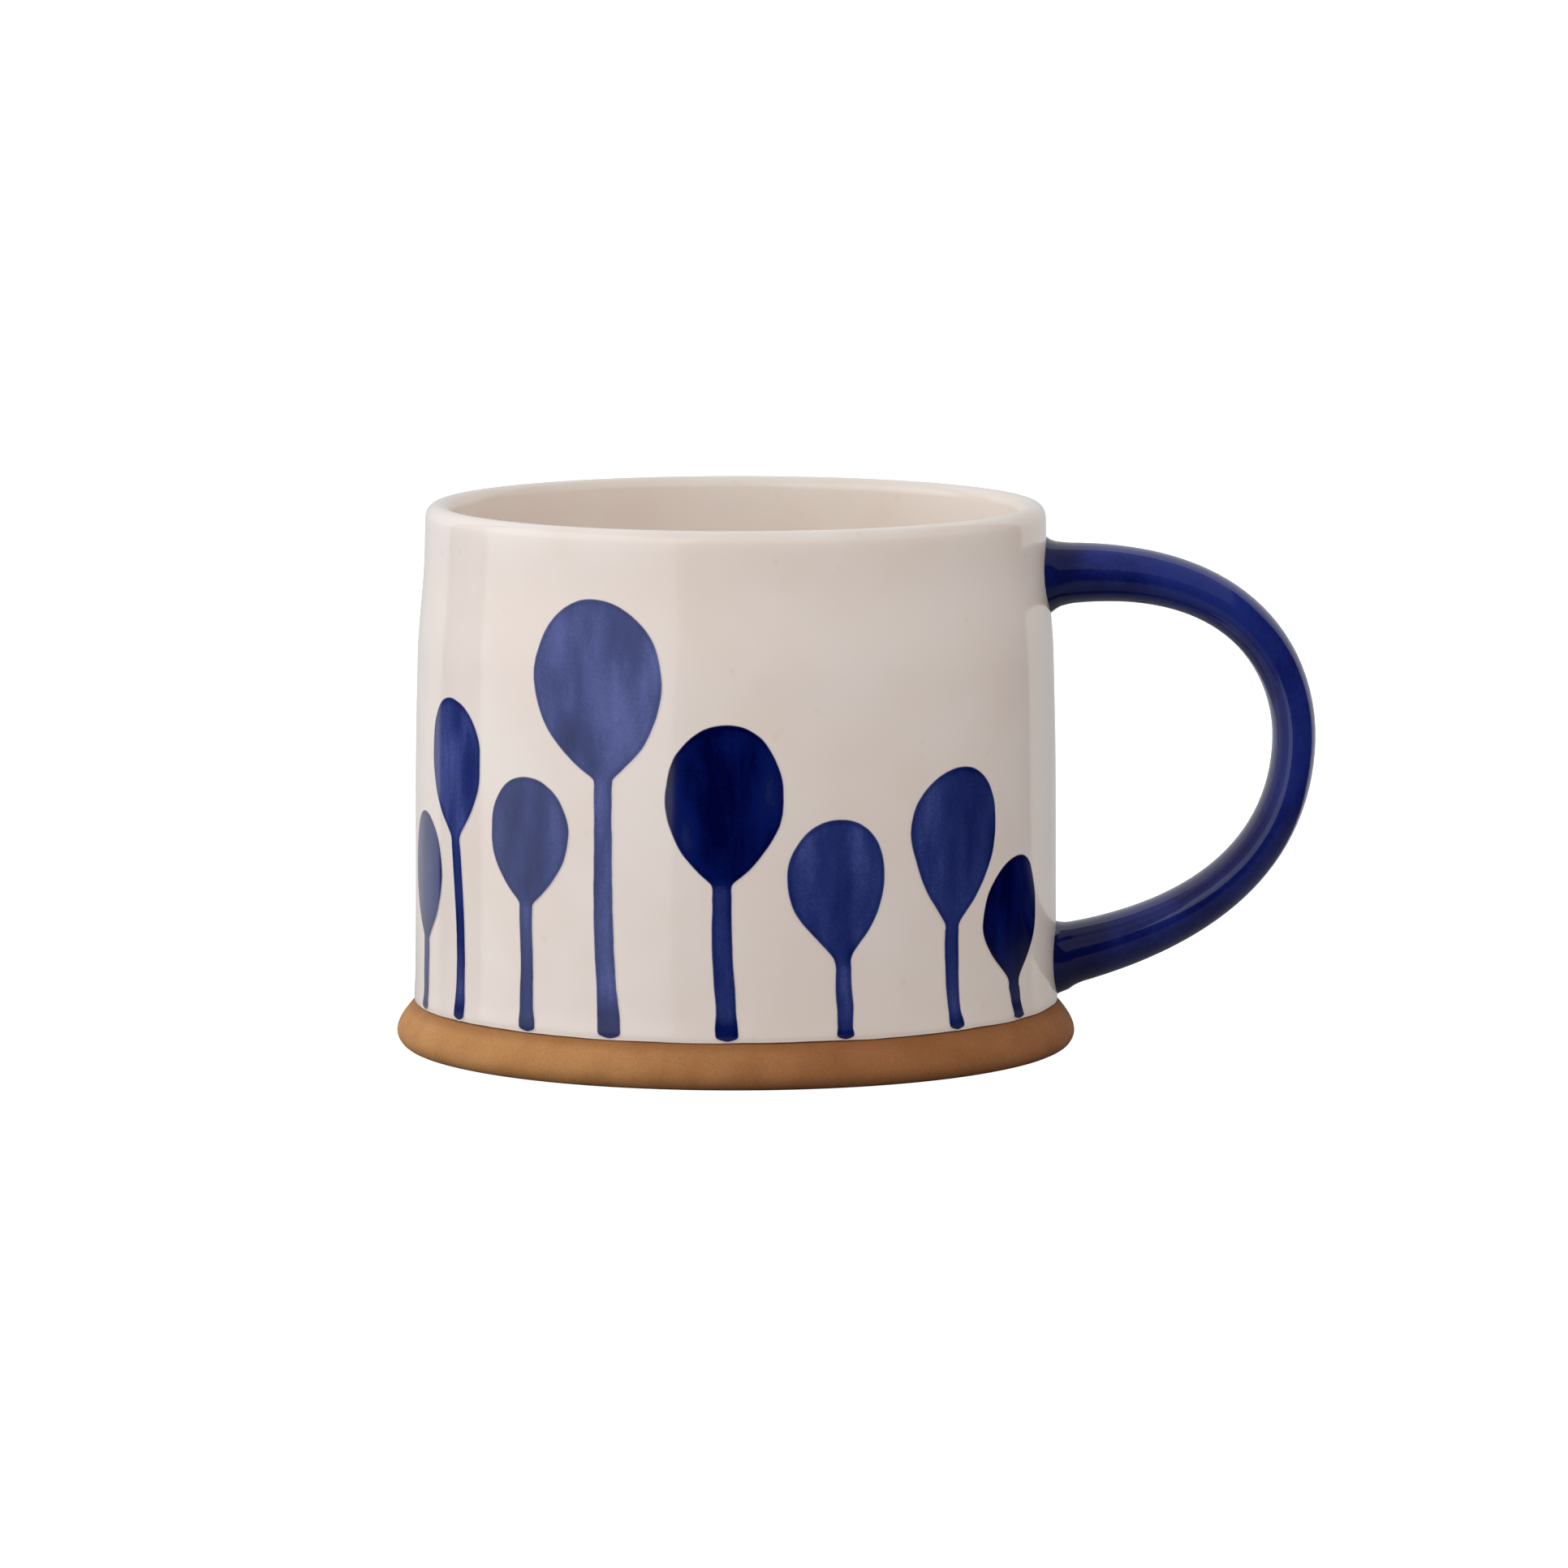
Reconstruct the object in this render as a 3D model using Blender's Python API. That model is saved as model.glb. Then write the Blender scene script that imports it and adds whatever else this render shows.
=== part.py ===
"""Stoneware mug with a flared clay foot, a cobalt handle and painted balloon flowers.

The mug is taken apart the way a potter builds it up: a wall is set with slip into a groove in a
round base, a coil is pressed into the inner corner, a pulled handle is luted on with two pads of
slip, and glazes and cobalt paint lie over the clay. Each layer is its own closed solid, and
CLEARANCE is the gap between solids that touch on the real mug.

Units are metres. +Z is up, the origin is on the mug's axis on the table, and the handle points
along +X.
"""

import math

import bmesh
import bpy

# Body: driving dimensions
BODY_HEIGHT = 0.0800
RIM_RADIUS = 0.0455
BASE_WALL_RADIUS = 0.0474
WALL_THICKNESS = 0.0048
LIP_THICKNESS = 0.0036
WALL_BULGE = 0.00068
FOOT_HEIGHT = 0.00645
FOOT_FLARE = 0.0026
FOOT_EDGE_WIDTH = 0.0024
FOOT_EDGE_HEIGHT = 0.0021
FLOOR_THICKNESS = 0.0060
GROOVE_DEPTH = 0.0026
SEAM_THICKNESS = 0.0007
CORNER_RADIUS = 0.0050

# Layers and gaps
CLEARANCE = 0.0003
GLAZE_THICKNESS = 0.0006
SLIP_THICKNESS = 0.0009
PAINT_THICKNESS = 0.0004
GLAZE_LAP = 0.0040

# Handle: driving dimensions
HANDLE_DROP = 0.0106
HANDLE_RISE = 0.00645
HANDLE_REACH = 0.0351
HANDLE_END_THICKNESS = 0.0093
HANDLE_MIDDLE_THICKNESS = 0.0064
HANDLE_END_WIDTH = 0.0136
HANDLE_MIDDLE_WIDTH = 0.0116
ROOT_FLARE = 0.0009
ROOT_FLARE_LENGTH = 0.0035

# Handle: shape of the curve, as shares of its reach and of the height between its roots
APEX_SHARE = 0.58
TOP_PULL = 0.82
TOP_ARCH = 0.05
APEX_PULL_UP = 0.17
APEX_PULL_DOWN = 0.17
BOTTOM_PULL = 0.88
BOTTOM_ARCH = 0.11

# Wall bulge: where it is full grown and where it dies out, as shares of the wall's height
BULGE_GROWN = 0.60
BULGE_FADES = 0.70
BULGE_GONE = 0.90

# Mesh fineness
TURN_STEPS = 48
WALL_STATIONS = 9
LIP_STEPS = 6
ARC_STEPS = 5
HANDLE_STATIONS = 26
HANDLE_SIDES = 14
FLOWER_ROWS = 9
STEM_ROWS = 3
FLOWER_COLUMNS = 4
COIL_TRIM = math.radians(26)
MERGE_DISTANCE = 1e-7
SMOOTH_ANGLE = math.radians(35)

# Finishes: colour, roughness
CLAY = ((0.50, 0.24, 0.11), 0.85)
SLIP = ((0.56, 0.30, 0.16), 0.90)
CREAM = ((0.80, 0.73, 0.66), 0.18)
COBALT = ((0.012, 0.018, 0.20), 0.10)

# Flowers, anticlockwise seen from above, starting left of the front. Each has its bearing from
# the front, the shifts of its neck and of its stem's end, its head's width (all in degrees round
# the wall), the heights of its head's top and neck as shares of the glazed wall, its stem's width
# in metres and how pointed its head is.
FLOWERS = (
    (-72.6, 0.1, 0.0, 15.9, 0.398, 0.147, 0.0029, 0.15),
    (-59.8, 0.8, 2.1, 17.5, 0.642, 0.362, 0.0028, 0.20),
    (-39.2, -0.2, 0.1, 17.7, 0.504, 0.252, 0.0028, 0.10),
    (-25.3, 1.7, 3.1, 25.4, 0.863, 0.505, 0.0033, 0.14),
    (-1.9, -0.3, 0.9, 20.8, 0.625, 0.306, 0.0031, 0.10),
    (18.1, 1.1, 1.7, 17.6, 0.439, 0.164, 0.0028, 0.18),
    (42.7, -1.1, 0.0, 20.6, 0.525, 0.211, 0.0030, 0.28),
    (58.7, -0.3, 2.0, 18.5, 0.335, 0.085, 0.0031, 0.20),
    (112.0, -0.4, -1.0, 17.0, 0.400, 0.150, 0.0027, 0.15),
    (131.5, 0.6, 1.5, 20.0, 0.650, 0.340, 0.0029, 0.12),
    (151.5, -0.2, -0.5, 17.0, 0.455, 0.200, 0.0027, 0.20),
    (173.5, 0.9, 1.8, 24.0, 0.830, 0.470, 0.0032, 0.14),
    (196.0, 0.2, 0.6, 17.5, 0.500, 0.235, 0.0028, 0.18),
    (216.5, -0.5, -1.4, 19.0, 0.620, 0.310, 0.0030, 0.10),
    (236.0, 0.3, 1.0, 16.0, 0.380, 0.140, 0.0027, 0.22),
    (258.5, 0.7, 1.6, 21.0, 0.735, 0.400, 0.0030, 0.15),
)
HEAD_WIDEST = 0.42


def smooth_step(value):
    """Ease from 0 to 1 as value runs from 0 to 1."""
    t = min(max(value, 0.0), 1.0)
    return t * t * (3.0 - 2.0 * t)


def wall_radius(height):
    """Radius of the glazed outside of the wall at a height."""
    share = (height - FOOT_HEIGHT) / (BODY_HEIGHT - FOOT_HEIGHT)
    straight = BASE_WALL_RADIUS + (RIM_RADIUS - BASE_WALL_RADIUS) * max(share, 0.0)
    grown = smooth_step(share / BULGE_GROWN)
    faded = smooth_step((share - BULGE_FADES) / (BULGE_GONE - BULGE_FADES))
    return straight + WALL_BULGE * grown * (1.0 - faded)


def cavity_radius(height):
    """Radius of the glazed inside of the wall at a height."""
    low = BASE_WALL_RADIUS - WALL_THICKNESS
    high = RIM_RADIUS - LIP_THICKNESS
    return low + (high - low) * (height - FOOT_HEIGHT) / (BODY_HEIGHT - FOOT_HEIGHT)


def spread(start, end, count):
    """Evenly spaced values from start to end, both included."""
    return [start + (end - start) * i / (count - 1) for i in range(count)]


CLAY_DEPTH = GLAZE_THICKNESS + CLEARANCE
CLAY_OUTER_BASE = BASE_WALL_RADIUS - CLAY_DEPTH
CLAY_INNER_BASE = cavity_radius(FOOT_HEIGHT) + CLAY_DEPTH
GROOVE_FLOOR = FOOT_HEIGHT - GROOVE_DEPTH
SEAM_BOTTOM = GROOVE_FLOOR + CLEARANCE
WALL_BOTTOM = SEAM_BOTTOM + SEAM_THICKNESS + CLEARANCE
LINER_BOTTOM = FLOOR_THICKNESS + CLEARANCE
CAVITY_FLOOR = LINER_BOTTOM + GLAZE_THICKNESS
CORNER_CENTRE_RADIUS = cavity_radius(CAVITY_FLOOR + CORNER_RADIUS) - CORNER_RADIUS
CORNER_CENTRE_HEIGHT = CAVITY_FLOOR + CORNER_RADIUS


def clear_scene():
    """Remove every object, so that the script always starts from nothing."""
    for item in list(bpy.data.objects):
        bpy.data.objects.remove(item, do_unlink=True)


def make_material(name, finish):
    """A plain glossy or matt material from a colour and a roughness."""
    colour, roughness = finish
    material = bpy.data.materials.new(name)
    material.use_nodes = True
    shader = material.node_tree.nodes["Principled BSDF"]
    shader.inputs["Base Color"].default_value = (*colour, 1.0)
    shader.inputs["Roughness"].default_value = roughness
    shader.inputs["Metallic"].default_value = 0.0
    return material


def add_object(name, mesh_builder, finish):
    """Turn a bmesh into a named, smooth shaded object with its own material."""
    bmesh.ops.remove_doubles(mesh_builder, verts=mesh_builder.verts, dist=MERGE_DISTANCE)
    bmesh.ops.recalc_face_normals(mesh_builder, faces=mesh_builder.faces)
    mesh = bpy.data.meshes.new(name)
    mesh_builder.to_mesh(mesh)
    mesh_builder.free()
    mesh.shade_smooth()
    mesh.set_sharp_from_angle(angle=SMOOTH_ANGLE)
    mesh.materials.append(make_material(name, finish))
    item = bpy.data.objects.new(name, mesh)
    bpy.context.scene.collection.objects.link(item)
    return item


def turned(name, profile, finish, closed=True):
    """Turn a profile of (radius, height) points about the mug's axis.

    A closed profile makes a ring; an open one starts and ends on the axis.
    """
    builder = bmesh.new()
    verts = [builder.verts.new((radius, 0.0, height)) for radius, height in profile]
    pairs = list(zip(verts, verts[1:], strict=False))
    if closed:
        pairs.append((verts[-1], verts[0]))
    edges = [builder.edges.new(pair) for pair in pairs]
    bmesh.ops.spin(
        builder,
        geom=verts + edges,
        cent=(0.0, 0.0, 0.0),
        axis=(0.0, 0.0, 1.0),
        dvec=(0.0, 0.0, 0.0),
        angle=2.0 * math.pi,
        steps=TURN_STEPS,
        use_merge=True,
        use_duplicate=False,
    )
    bmesh.ops.dissolve_degenerate(builder, edges=builder.edges, dist=MERGE_DISTANCE)
    return add_object(name, builder, finish)


def arc(centre, radius, start_degrees, end_degrees, steps):
    """Points along an arc in the profile's plane, both ends included."""
    points = []
    for angle in spread(math.radians(start_degrees), math.radians(end_degrees), steps + 1):
        x = centre[0] + radius * math.cos(angle)
        points.append((x, centre[1] + radius * math.sin(angle)))
    return points


def shell_path(depth, low_outside, low_inside):
    """Points up the wall's outside, over the lip and down its inside, at a depth below the glaze."""
    lip_radius = LIP_THICKNESS / 2.0
    lip_height = BODY_HEIGHT - lip_radius
    outside = [(wall_radius(z) - depth, z) for z in spread(low_outside, lip_height, WALL_STATIONS)]
    centre = (RIM_RADIUS - lip_radius, lip_height)
    over = arc(centre, lip_radius - depth, 0.0, 180.0, LIP_STEPS)[1:-1]
    stations = 2 if BODY_HEIGHT - low_inside < BODY_HEIGHT / 4.0 else WALL_STATIONS
    inside = [(cavity_radius(z) + depth, z) for z in spread(lip_height, low_inside, stations)]
    return outside + over + inside


def ring_between(outer_path, inner_path):
    """Close two paths that run side by side into one profile."""
    return outer_path + inner_path[::-1]


def build_foot():
    """Round base of bare clay: a flat disc, a groove for the wall and a flared outer edge."""
    foot_radius = BASE_WALL_RADIUS + FOOT_FLARE
    edge = []
    for angle in spread(-math.pi / 2.0, 0.0, ARC_STEPS):
        x = foot_radius - FOOT_EDGE_WIDTH * (1.0 - math.cos(angle))
        edge.append((x, FOOT_EDGE_HEIGHT * (1.0 + math.sin(angle))))
    flare = []
    for share in spread(0.0, 1.0, ARC_STEPS + 1)[1:]:
        height = FOOT_EDGE_HEIGHT + (FOOT_HEIGHT - FOOT_EDGE_HEIGHT) * share
        flare.append((foot_radius - FOOT_FLARE * share**1.8, height))
    groove = [
        (CLAY_OUTER_BASE + CLEARANCE, FOOT_HEIGHT),
        (CLAY_OUTER_BASE + CLEARANCE, GROOVE_FLOOR),
        (CLAY_INNER_BASE - CLEARANCE, GROOVE_FLOOR),
        (CLAY_INNER_BASE - CLEARANCE, FLOOR_THICKNESS),
    ]
    profile = [(0.0, 0.0)] + edge + flare + groove + [(0.0, FLOOR_THICKNESS)]
    turned("foot", profile, CLAY, closed=False)


def build_base_seam():
    """Ring of slip between the groove's floor and the wall's lower edge."""
    top = SEAM_BOTTOM + SEAM_THICKNESS
    profile = [
        (CLAY_INNER_BASE, SEAM_BOTTOM),
        (CLAY_OUTER_BASE, SEAM_BOTTOM),
        (CLAY_OUTER_BASE, top),
        (CLAY_INNER_BASE, top),
    ]
    turned("base_slip_seam", profile, SLIP)


def build_wall():
    """Clay wall with its rounded lip."""
    turned("body_wall", shell_path(CLAY_DEPTH, WALL_BOTTOM, WALL_BOTTOM), CLAY)


def build_corner_coil():
    """Coil pressed into the corner between the floor and the wall, smoothed to a cove."""
    centre = (CORNER_CENTRE_RADIUS, CORNER_CENTRE_HEIGHT)
    cove_radius = CORNER_RADIUS + CLAY_DEPTH
    trim = math.degrees(COIL_TRIM)
    cove = arc(centre, cove_radius, -90.0 + trim, -trim, ARC_STEPS)
    top = cove[-1][1]
    backing = [(cavity_radius(z) + GLAZE_THICKNESS, z) for z in (top, LINER_BOTTOM)]
    profile = cove + backing + [(cove[0][0], LINER_BOTTOM)]
    turned("corner_coil", profile, CLAY)


def liner_path(depth, top):
    """Points down the inside of the cup, round the corner and along the floor to the axis."""
    wall = [(cavity_radius(z) + depth, z) for z in spread(top, CORNER_CENTRE_HEIGHT, WALL_STATIONS)]
    centre = (CORNER_CENTRE_RADIUS, CORNER_CENTRE_HEIGHT)
    corner = arc(centre, CORNER_RADIUS + depth, 0.0, -90.0, ARC_STEPS)[1:]
    return wall + corner + [(0.0, CAVITY_FLOOR - depth)]


def build_glazes(root_cutters):
    """Cream glaze: a sleeve over the lip outside, and a liner inside."""
    lap_height = BODY_HEIGHT - GLAZE_LAP
    low = FOOT_HEIGHT + CLEARANCE
    skin = shell_path(0.0, low, lap_height)
    back = shell_path(GLAZE_THICKNESS, low, lap_height)
    sleeve = turned("outer_glaze", ring_between(skin, back), CREAM)
    for cutter in root_cutters:
        cut = sleeve.modifiers.new(cutter.name, "BOOLEAN")
        cut.operation = "DIFFERENCE"
        cut.solver = "EXACT"
        cut.object = cutter
    top = lap_height - CLEARANCE
    liner = liner_path(0.0, top)[::-1] + liner_path(GLAZE_THICKNESS, top)
    turned("inner_glaze", liner, CREAM, closed=False)


def bezier(points, t):
    """Point on a cubic Bezier curve in the handle's plane."""
    weights = ((1 - t) ** 3, 3 * t * (1 - t) ** 2, 3 * t * t * (1 - t), t**3)
    x = sum(w * p[0] for w, p in zip(weights, points, strict=True))
    return x, sum(w * p[1] for w, p in zip(weights, points, strict=True))


def handle_curve():
    """The two Bezier curves of the handle's centre line, from the upper root to the lower."""
    top_height = BODY_HEIGHT - HANDLE_DROP
    low_height = FOOT_HEIGHT + HANDLE_RISE
    span = top_height - low_height
    apex_height = low_height + APEX_SHARE * span
    top = (wall_radius(top_height), top_height)
    low = (wall_radius(low_height), low_height)
    apex = (wall_radius(apex_height) + HANDLE_REACH, apex_height)
    reach_top = apex[0] - top[0]
    reach_low = apex[0] - low[0]
    upper = (
        top,
        (top[0] + TOP_PULL * reach_top, top_height + TOP_ARCH * span),
        (apex[0], apex_height + APEX_PULL_UP * span),
        apex,
    )
    lower = (
        apex,
        (apex[0], apex_height - APEX_PULL_DOWN * span),
        (low[0] + BOTTOM_PULL * reach_low, low_height + BOTTOM_ARCH * span),
        low,
    )
    return upper, lower


def handle_stations():
    """Centre, unit normal and share of the length for each section along the handle."""
    upper, lower = handle_curve()
    fine = 200
    path = [bezier(upper, i / fine) for i in range(fine)]
    path += [bezier(lower, i / fine) for i in range(fine + 1)]
    travelled = [0.0]
    for first, second in zip(path, path[1:], strict=False):
        travelled.append(travelled[-1] + math.dist(first, second))
    stations = []
    for wanted in spread(0.0, travelled[-1], HANDLE_STATIONS):
        i = min(range(len(path)), key=lambda k: abs(travelled[k] - wanted))
        before = path[max(i - 1, 0)]
        after = path[min(i + 1, len(path) - 1)]
        length = math.dist(before, after)
        normal = (-(after[1] - before[1]) / length, (after[0] - before[0]) / length)
        stations.append((path[i], normal, travelled[i] / travelled[-1], travelled[-1]))
    return stations


def handle_half_sizes(share, length):
    """Half thickness and half width of the glazed handle at a share of its length."""
    middle = 4.0 * share * (1.0 - share)
    thickness = HANDLE_END_THICKNESS + (HANDLE_MIDDLE_THICKNESS - HANDLE_END_THICKNESS) * middle
    width = HANDLE_END_WIDTH + (HANDLE_MIDDLE_WIDTH - HANDLE_END_WIDTH) * middle
    from_root = min(share, 1.0 - share) * length
    flare = ROOT_FLARE * (1.0 - smooth_step(from_root / ROOT_FLARE_LENGTH))
    return thickness / 2.0 + flare, width / 2.0 + flare


def onto_wall(point, offset):
    """Slide a point along X until it lies at an offset outside the glazed wall."""
    radius = wall_radius(point[2]) + offset
    return math.sqrt(radius * radius - point[1] * point[1]), point[1], point[2]


def handle_rings(builder, depth, root_offset):
    """Rings of vertices along the handle at a depth below its glaze, with its ends on the wall."""
    rings = []
    stations = handle_stations()
    for number, (centre, normal, share, length) in enumerate(stations):
        half_thickness, half_width = handle_half_sizes(share, length)
        ring = []
        for side in range(HANDLE_SIDES):
            angle = 2.0 * math.pi * side / HANDLE_SIDES
            across = (half_thickness - depth) * math.cos(angle)
            y = (half_width - depth) * math.sin(angle)
            point = (centre[0] + across * normal[0], y, centre[1] + across * normal[1])
            if number in (0, len(stations) - 1):
                point = onto_wall(point, root_offset)
            ring.append(builder.verts.new(point))
        rings.append(ring)
    return rings


def bridge_rings(builder, rings):
    """Join each ring of vertices to the next with quads."""
    for first, second in zip(rings, rings[1:], strict=False):
        count = len(first)
        for i in range(count):
            j = (i + 1) % count
            builder.faces.new((first[i], first[j], second[j], second[i]))


def cap_ring(builder, ring, root_offset):
    """Close a ring that lies on the wall with a half-size ring and a fan."""
    centre_y = sum(vert.co.y for vert in ring) / len(ring)
    centre_z = sum(vert.co.z for vert in ring) / len(ring)
    inner = []
    for vert in ring:
        y = (vert.co.y + centre_y) / 2.0
        z = (vert.co.z + centre_z) / 2.0
        inner.append(builder.verts.new(onto_wall((0.0, y, z), root_offset)))
    bridge_rings(builder, [ring, inner])
    middle = builder.verts.new(onto_wall((0.0, centre_y, centre_z), root_offset))
    count = len(inner)
    for i in range(count):
        builder.faces.new((inner[i], inner[(i + 1) % count], middle))


def build_handle():
    """Pulled clay handle that ends against the two pads of slip."""
    builder = bmesh.new()
    root_offset = SLIP_THICKNESS + 2.0 * CLEARANCE - CLAY_DEPTH
    rings = handle_rings(builder, CLAY_DEPTH, root_offset)
    bridge_rings(builder, rings)
    cap_ring(builder, rings[0], root_offset)
    cap_ring(builder, rings[-1], root_offset)
    add_object("handle", builder, CLAY)


def build_handle_glaze():
    """Cobalt glaze round the handle: a tube, open where the handle meets the wall."""
    builder = bmesh.new()
    outer = handle_rings(builder, 0.0, CLEARANCE)
    inner = handle_rings(builder, GLAZE_THICKNESS, CLEARANCE)
    bridge_rings(builder, outer)
    bridge_rings(builder, [ring[::-1] for ring in inner])
    bridge_rings(builder, [outer[0], inner[0]])
    bridge_rings(builder, [outer[-1], inner[-1]])
    add_object("handle_glaze", builder, COBALT)


def root_outlines():
    """Centre height, half height and half width of the clay at the upper and the lower root."""
    outlines = {}
    stations = handle_stations()
    for name, station in (("upper", stations[0]), ("lower", stations[-1])):
        centre, normal, share, length = station
        half_thickness, half_width = handle_half_sizes(share, length)
        half_height = (half_thickness - CLAY_DEPTH) * abs(normal[1])
        outlines[name] = (centre[1], half_height, half_width - CLAY_DEPTH)
    return outlines


def build_slip_pads(outlines):
    """Pads of slip that join the handle's ends to the clay wall, through the glaze."""
    inner_offset = CLEARANCE - CLAY_DEPTH
    outer_offset = inner_offset + SLIP_THICKNESS
    for name, (height, half_height, half_width) in outlines.items():
        builder = bmesh.new()
        rims = []
        for offset in (inner_offset, outer_offset):
            ring = []
            for side in range(HANDLE_SIDES):
                angle = 2.0 * math.pi * side / HANDLE_SIDES
                y = half_width * math.sin(angle)
                point = (0.0, y, height + half_height * math.cos(angle))
                ring.append(builder.verts.new(onto_wall(point, offset)))
            cap_ring(builder, ring, offset)
            rims.append(ring)
        bridge_rings(builder, rims)
        add_object(f"{name}_handle_slip", builder, SLIP)


def build_root_cutters(outlines):
    """Oval prisms along X that open the outer glaze round each pad of slip."""
    cutters = []
    for name, (height, half_height, half_width) in outlines.items():
        builder = bmesh.new()
        rims = []
        for x in (BASE_WALL_RADIUS / 2.0, 2.0 * BASE_WALL_RADIUS):
            ring = []
            for side in range(HANDLE_SIDES):
                angle = 2.0 * math.pi * side / HANDLE_SIDES
                y = (half_width + CLEARANCE) * math.sin(angle)
                z = height + (half_height + CLEARANCE) * math.cos(angle)
                ring.append(builder.verts.new((x, y, z)))
            builder.faces.new(ring)
            rims.append(ring)
        bridge_rings(builder, rims)
        cutter = add_object(f"{name}_root_cutter", builder, SLIP)
        cutter.hide_render = True
        cutter.display_type = "WIRE"
        cutters.append(cutter)
    return cutters


def head_width_share(share, pointed):
    """Width of a flower's head, as a share of its greatest, from its top (0) to its neck (1)."""
    if share < HEAD_WIDEST:
        return math.sqrt(max(1.0 - ((HEAD_WIDEST - share) / HEAD_WIDEST) ** 2, 0.0))
    down = (share - HEAD_WIDEST) / (1.0 - HEAD_WIDEST)
    return math.sqrt(max(1.0 - down * down, 0.0)) * (1.0 - pointed * down)


def flower_rows(flower):
    """Bearing, half width in radians and height of each row across one flower, top to bottom."""
    bearing, neck_shift, stem_shift, head_width, top_share, neck_share, stem_width, pointed = flower
    low = FOOT_HEIGHT + CLEARANCE
    glazed = BODY_HEIGHT - low
    top = low + top_share * glazed
    neck = low + neck_share * glazed
    head_half = math.radians(head_width) / 2.0
    stem_half = stem_width / wall_radius(neck) / 2.0
    rows = []
    for share in spread(0.0, 1.0, FLOWER_ROWS):
        eased = (1.0 - math.cos(math.pi * share)) / 2.0
        half = max(head_half * head_width_share(eased, pointed), stem_half)
        rows.append((math.radians(bearing + neck_shift * eased * eased), half, top + (neck - top) * eased))
    for share in spread(0.0, 1.0, STEM_ROWS + 1)[1:]:
        height = neck + (low + CLEARANCE - neck) * share
        turn = neck_shift + (stem_shift - neck_shift) * share
        rows.append((math.radians(bearing + turn), stem_half, height))
    return rows


def build_flower(number, flower):
    """One painted flower, head and stem in one film that follows the wall."""
    builder = bmesh.new()
    sheets = []
    for offset in (CLEARANCE, CLEARANCE + PAINT_THICKNESS):
        sheet = []
        for bearing, half, height in flower_rows(flower):
            row = []
            for across in spread(-1.0, 1.0, FLOWER_COLUMNS + 1):
                angle = bearing + half * across
                radius = wall_radius(height) + offset
                x = radius * math.sin(angle)
                row.append(builder.verts.new((x, -radius * math.cos(angle), height)))
            sheet.append(row)
        sheets.append(sheet)
        for upper, lower in zip(sheet, sheet[1:], strict=False):
            for i in range(FLOWER_COLUMNS):
                builder.faces.new((upper[i], upper[i + 1], lower[i + 1], lower[i]))
    rims = []
    for sheet in sheets:
        left = [row[0] for row in sheet[1:-1]]
        right = [row[-1] for row in sheet[1:-1]]
        rims.append(sheet[0] + right + sheet[-1][::-1] + left[::-1])
    bridge_rings(builder, rims)
    add_object(f"flower_{number:02d}", builder, COBALT)


def main():
    """Build the mug from its foot up."""
    clear_scene()
    build_foot()
    build_base_seam()
    build_wall()
    build_corner_coil()
    outlines = root_outlines()
    build_glazes(build_root_cutters(outlines))
    build_handle()
    build_slip_pads(outlines)
    build_handle_glaze()
    for number, flower in enumerate(FLOWERS, start=1):
        build_flower(number, flower)


main()
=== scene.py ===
"""Looks of a wide stoneware mug: bare clay foot, cream glaze, cobalt handle and painted balloon flowers.

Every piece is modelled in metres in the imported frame: the foot stands on Z = 0, the painted front
faces -Y and the handle points along +X.
"""

import logging
import math
from collections.abc import Callable, Sequence
from dataclasses import dataclass, field
from enum import Enum

import bpy
import numpy as np
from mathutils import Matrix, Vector


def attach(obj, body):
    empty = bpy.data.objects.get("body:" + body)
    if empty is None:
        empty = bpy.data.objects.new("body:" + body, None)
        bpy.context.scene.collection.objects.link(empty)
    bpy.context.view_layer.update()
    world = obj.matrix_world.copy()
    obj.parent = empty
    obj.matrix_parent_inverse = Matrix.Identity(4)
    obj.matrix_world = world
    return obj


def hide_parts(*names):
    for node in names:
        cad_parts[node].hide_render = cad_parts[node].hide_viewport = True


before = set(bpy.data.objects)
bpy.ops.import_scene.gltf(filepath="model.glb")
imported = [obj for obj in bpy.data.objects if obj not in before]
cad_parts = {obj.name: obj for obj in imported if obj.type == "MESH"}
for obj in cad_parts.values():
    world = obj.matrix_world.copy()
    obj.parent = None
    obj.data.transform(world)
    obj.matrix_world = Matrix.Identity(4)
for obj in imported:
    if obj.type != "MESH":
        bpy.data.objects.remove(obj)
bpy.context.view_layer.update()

log = logging.getLogger("mug")

Colour = tuple[float, float, float]
Point = tuple[float, float]
MM = 0.001
ORIGIN = (0.0, 0.0, 0.0)


def smooth_step(value: float) -> float:
    """Ease from 0 to 1 as the value goes from 0 to 1."""
    t = min(max(value, 0.0), 1.0)
    return t * t * (3.0 - 2.0 * t)


def spread(start: float, end: float, count: int) -> list[float]:
    """Evenly spaced values, both ends included."""
    return [start + (end - start) * i / (count - 1) for i in range(count)]


def arc(centre: Point, radius: float, start: float, end: float, count: int) -> list[Point]:
    """Draw points along an arc in the profile's plane.

    Args:
        centre: Centre of the arc, as radius and height.
        radius: Radius of the arc.
        start: First angle in degrees, 0 pointing away from the axis.
        end: Last angle in degrees.
        count: How many points, both ends included.

    Returns:
        The points in order.
    """
    return [
        (centre[0] + radius * math.cos(math.radians(a)), centre[1] + radius * math.sin(math.radians(a)))
        for a in spread(start, end, count)
    ]


class Drift(Enum):
    """Direction in which hand work wanders."""

    OUTWARD = "NORMAL"
    UPWARD = "Z"


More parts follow.
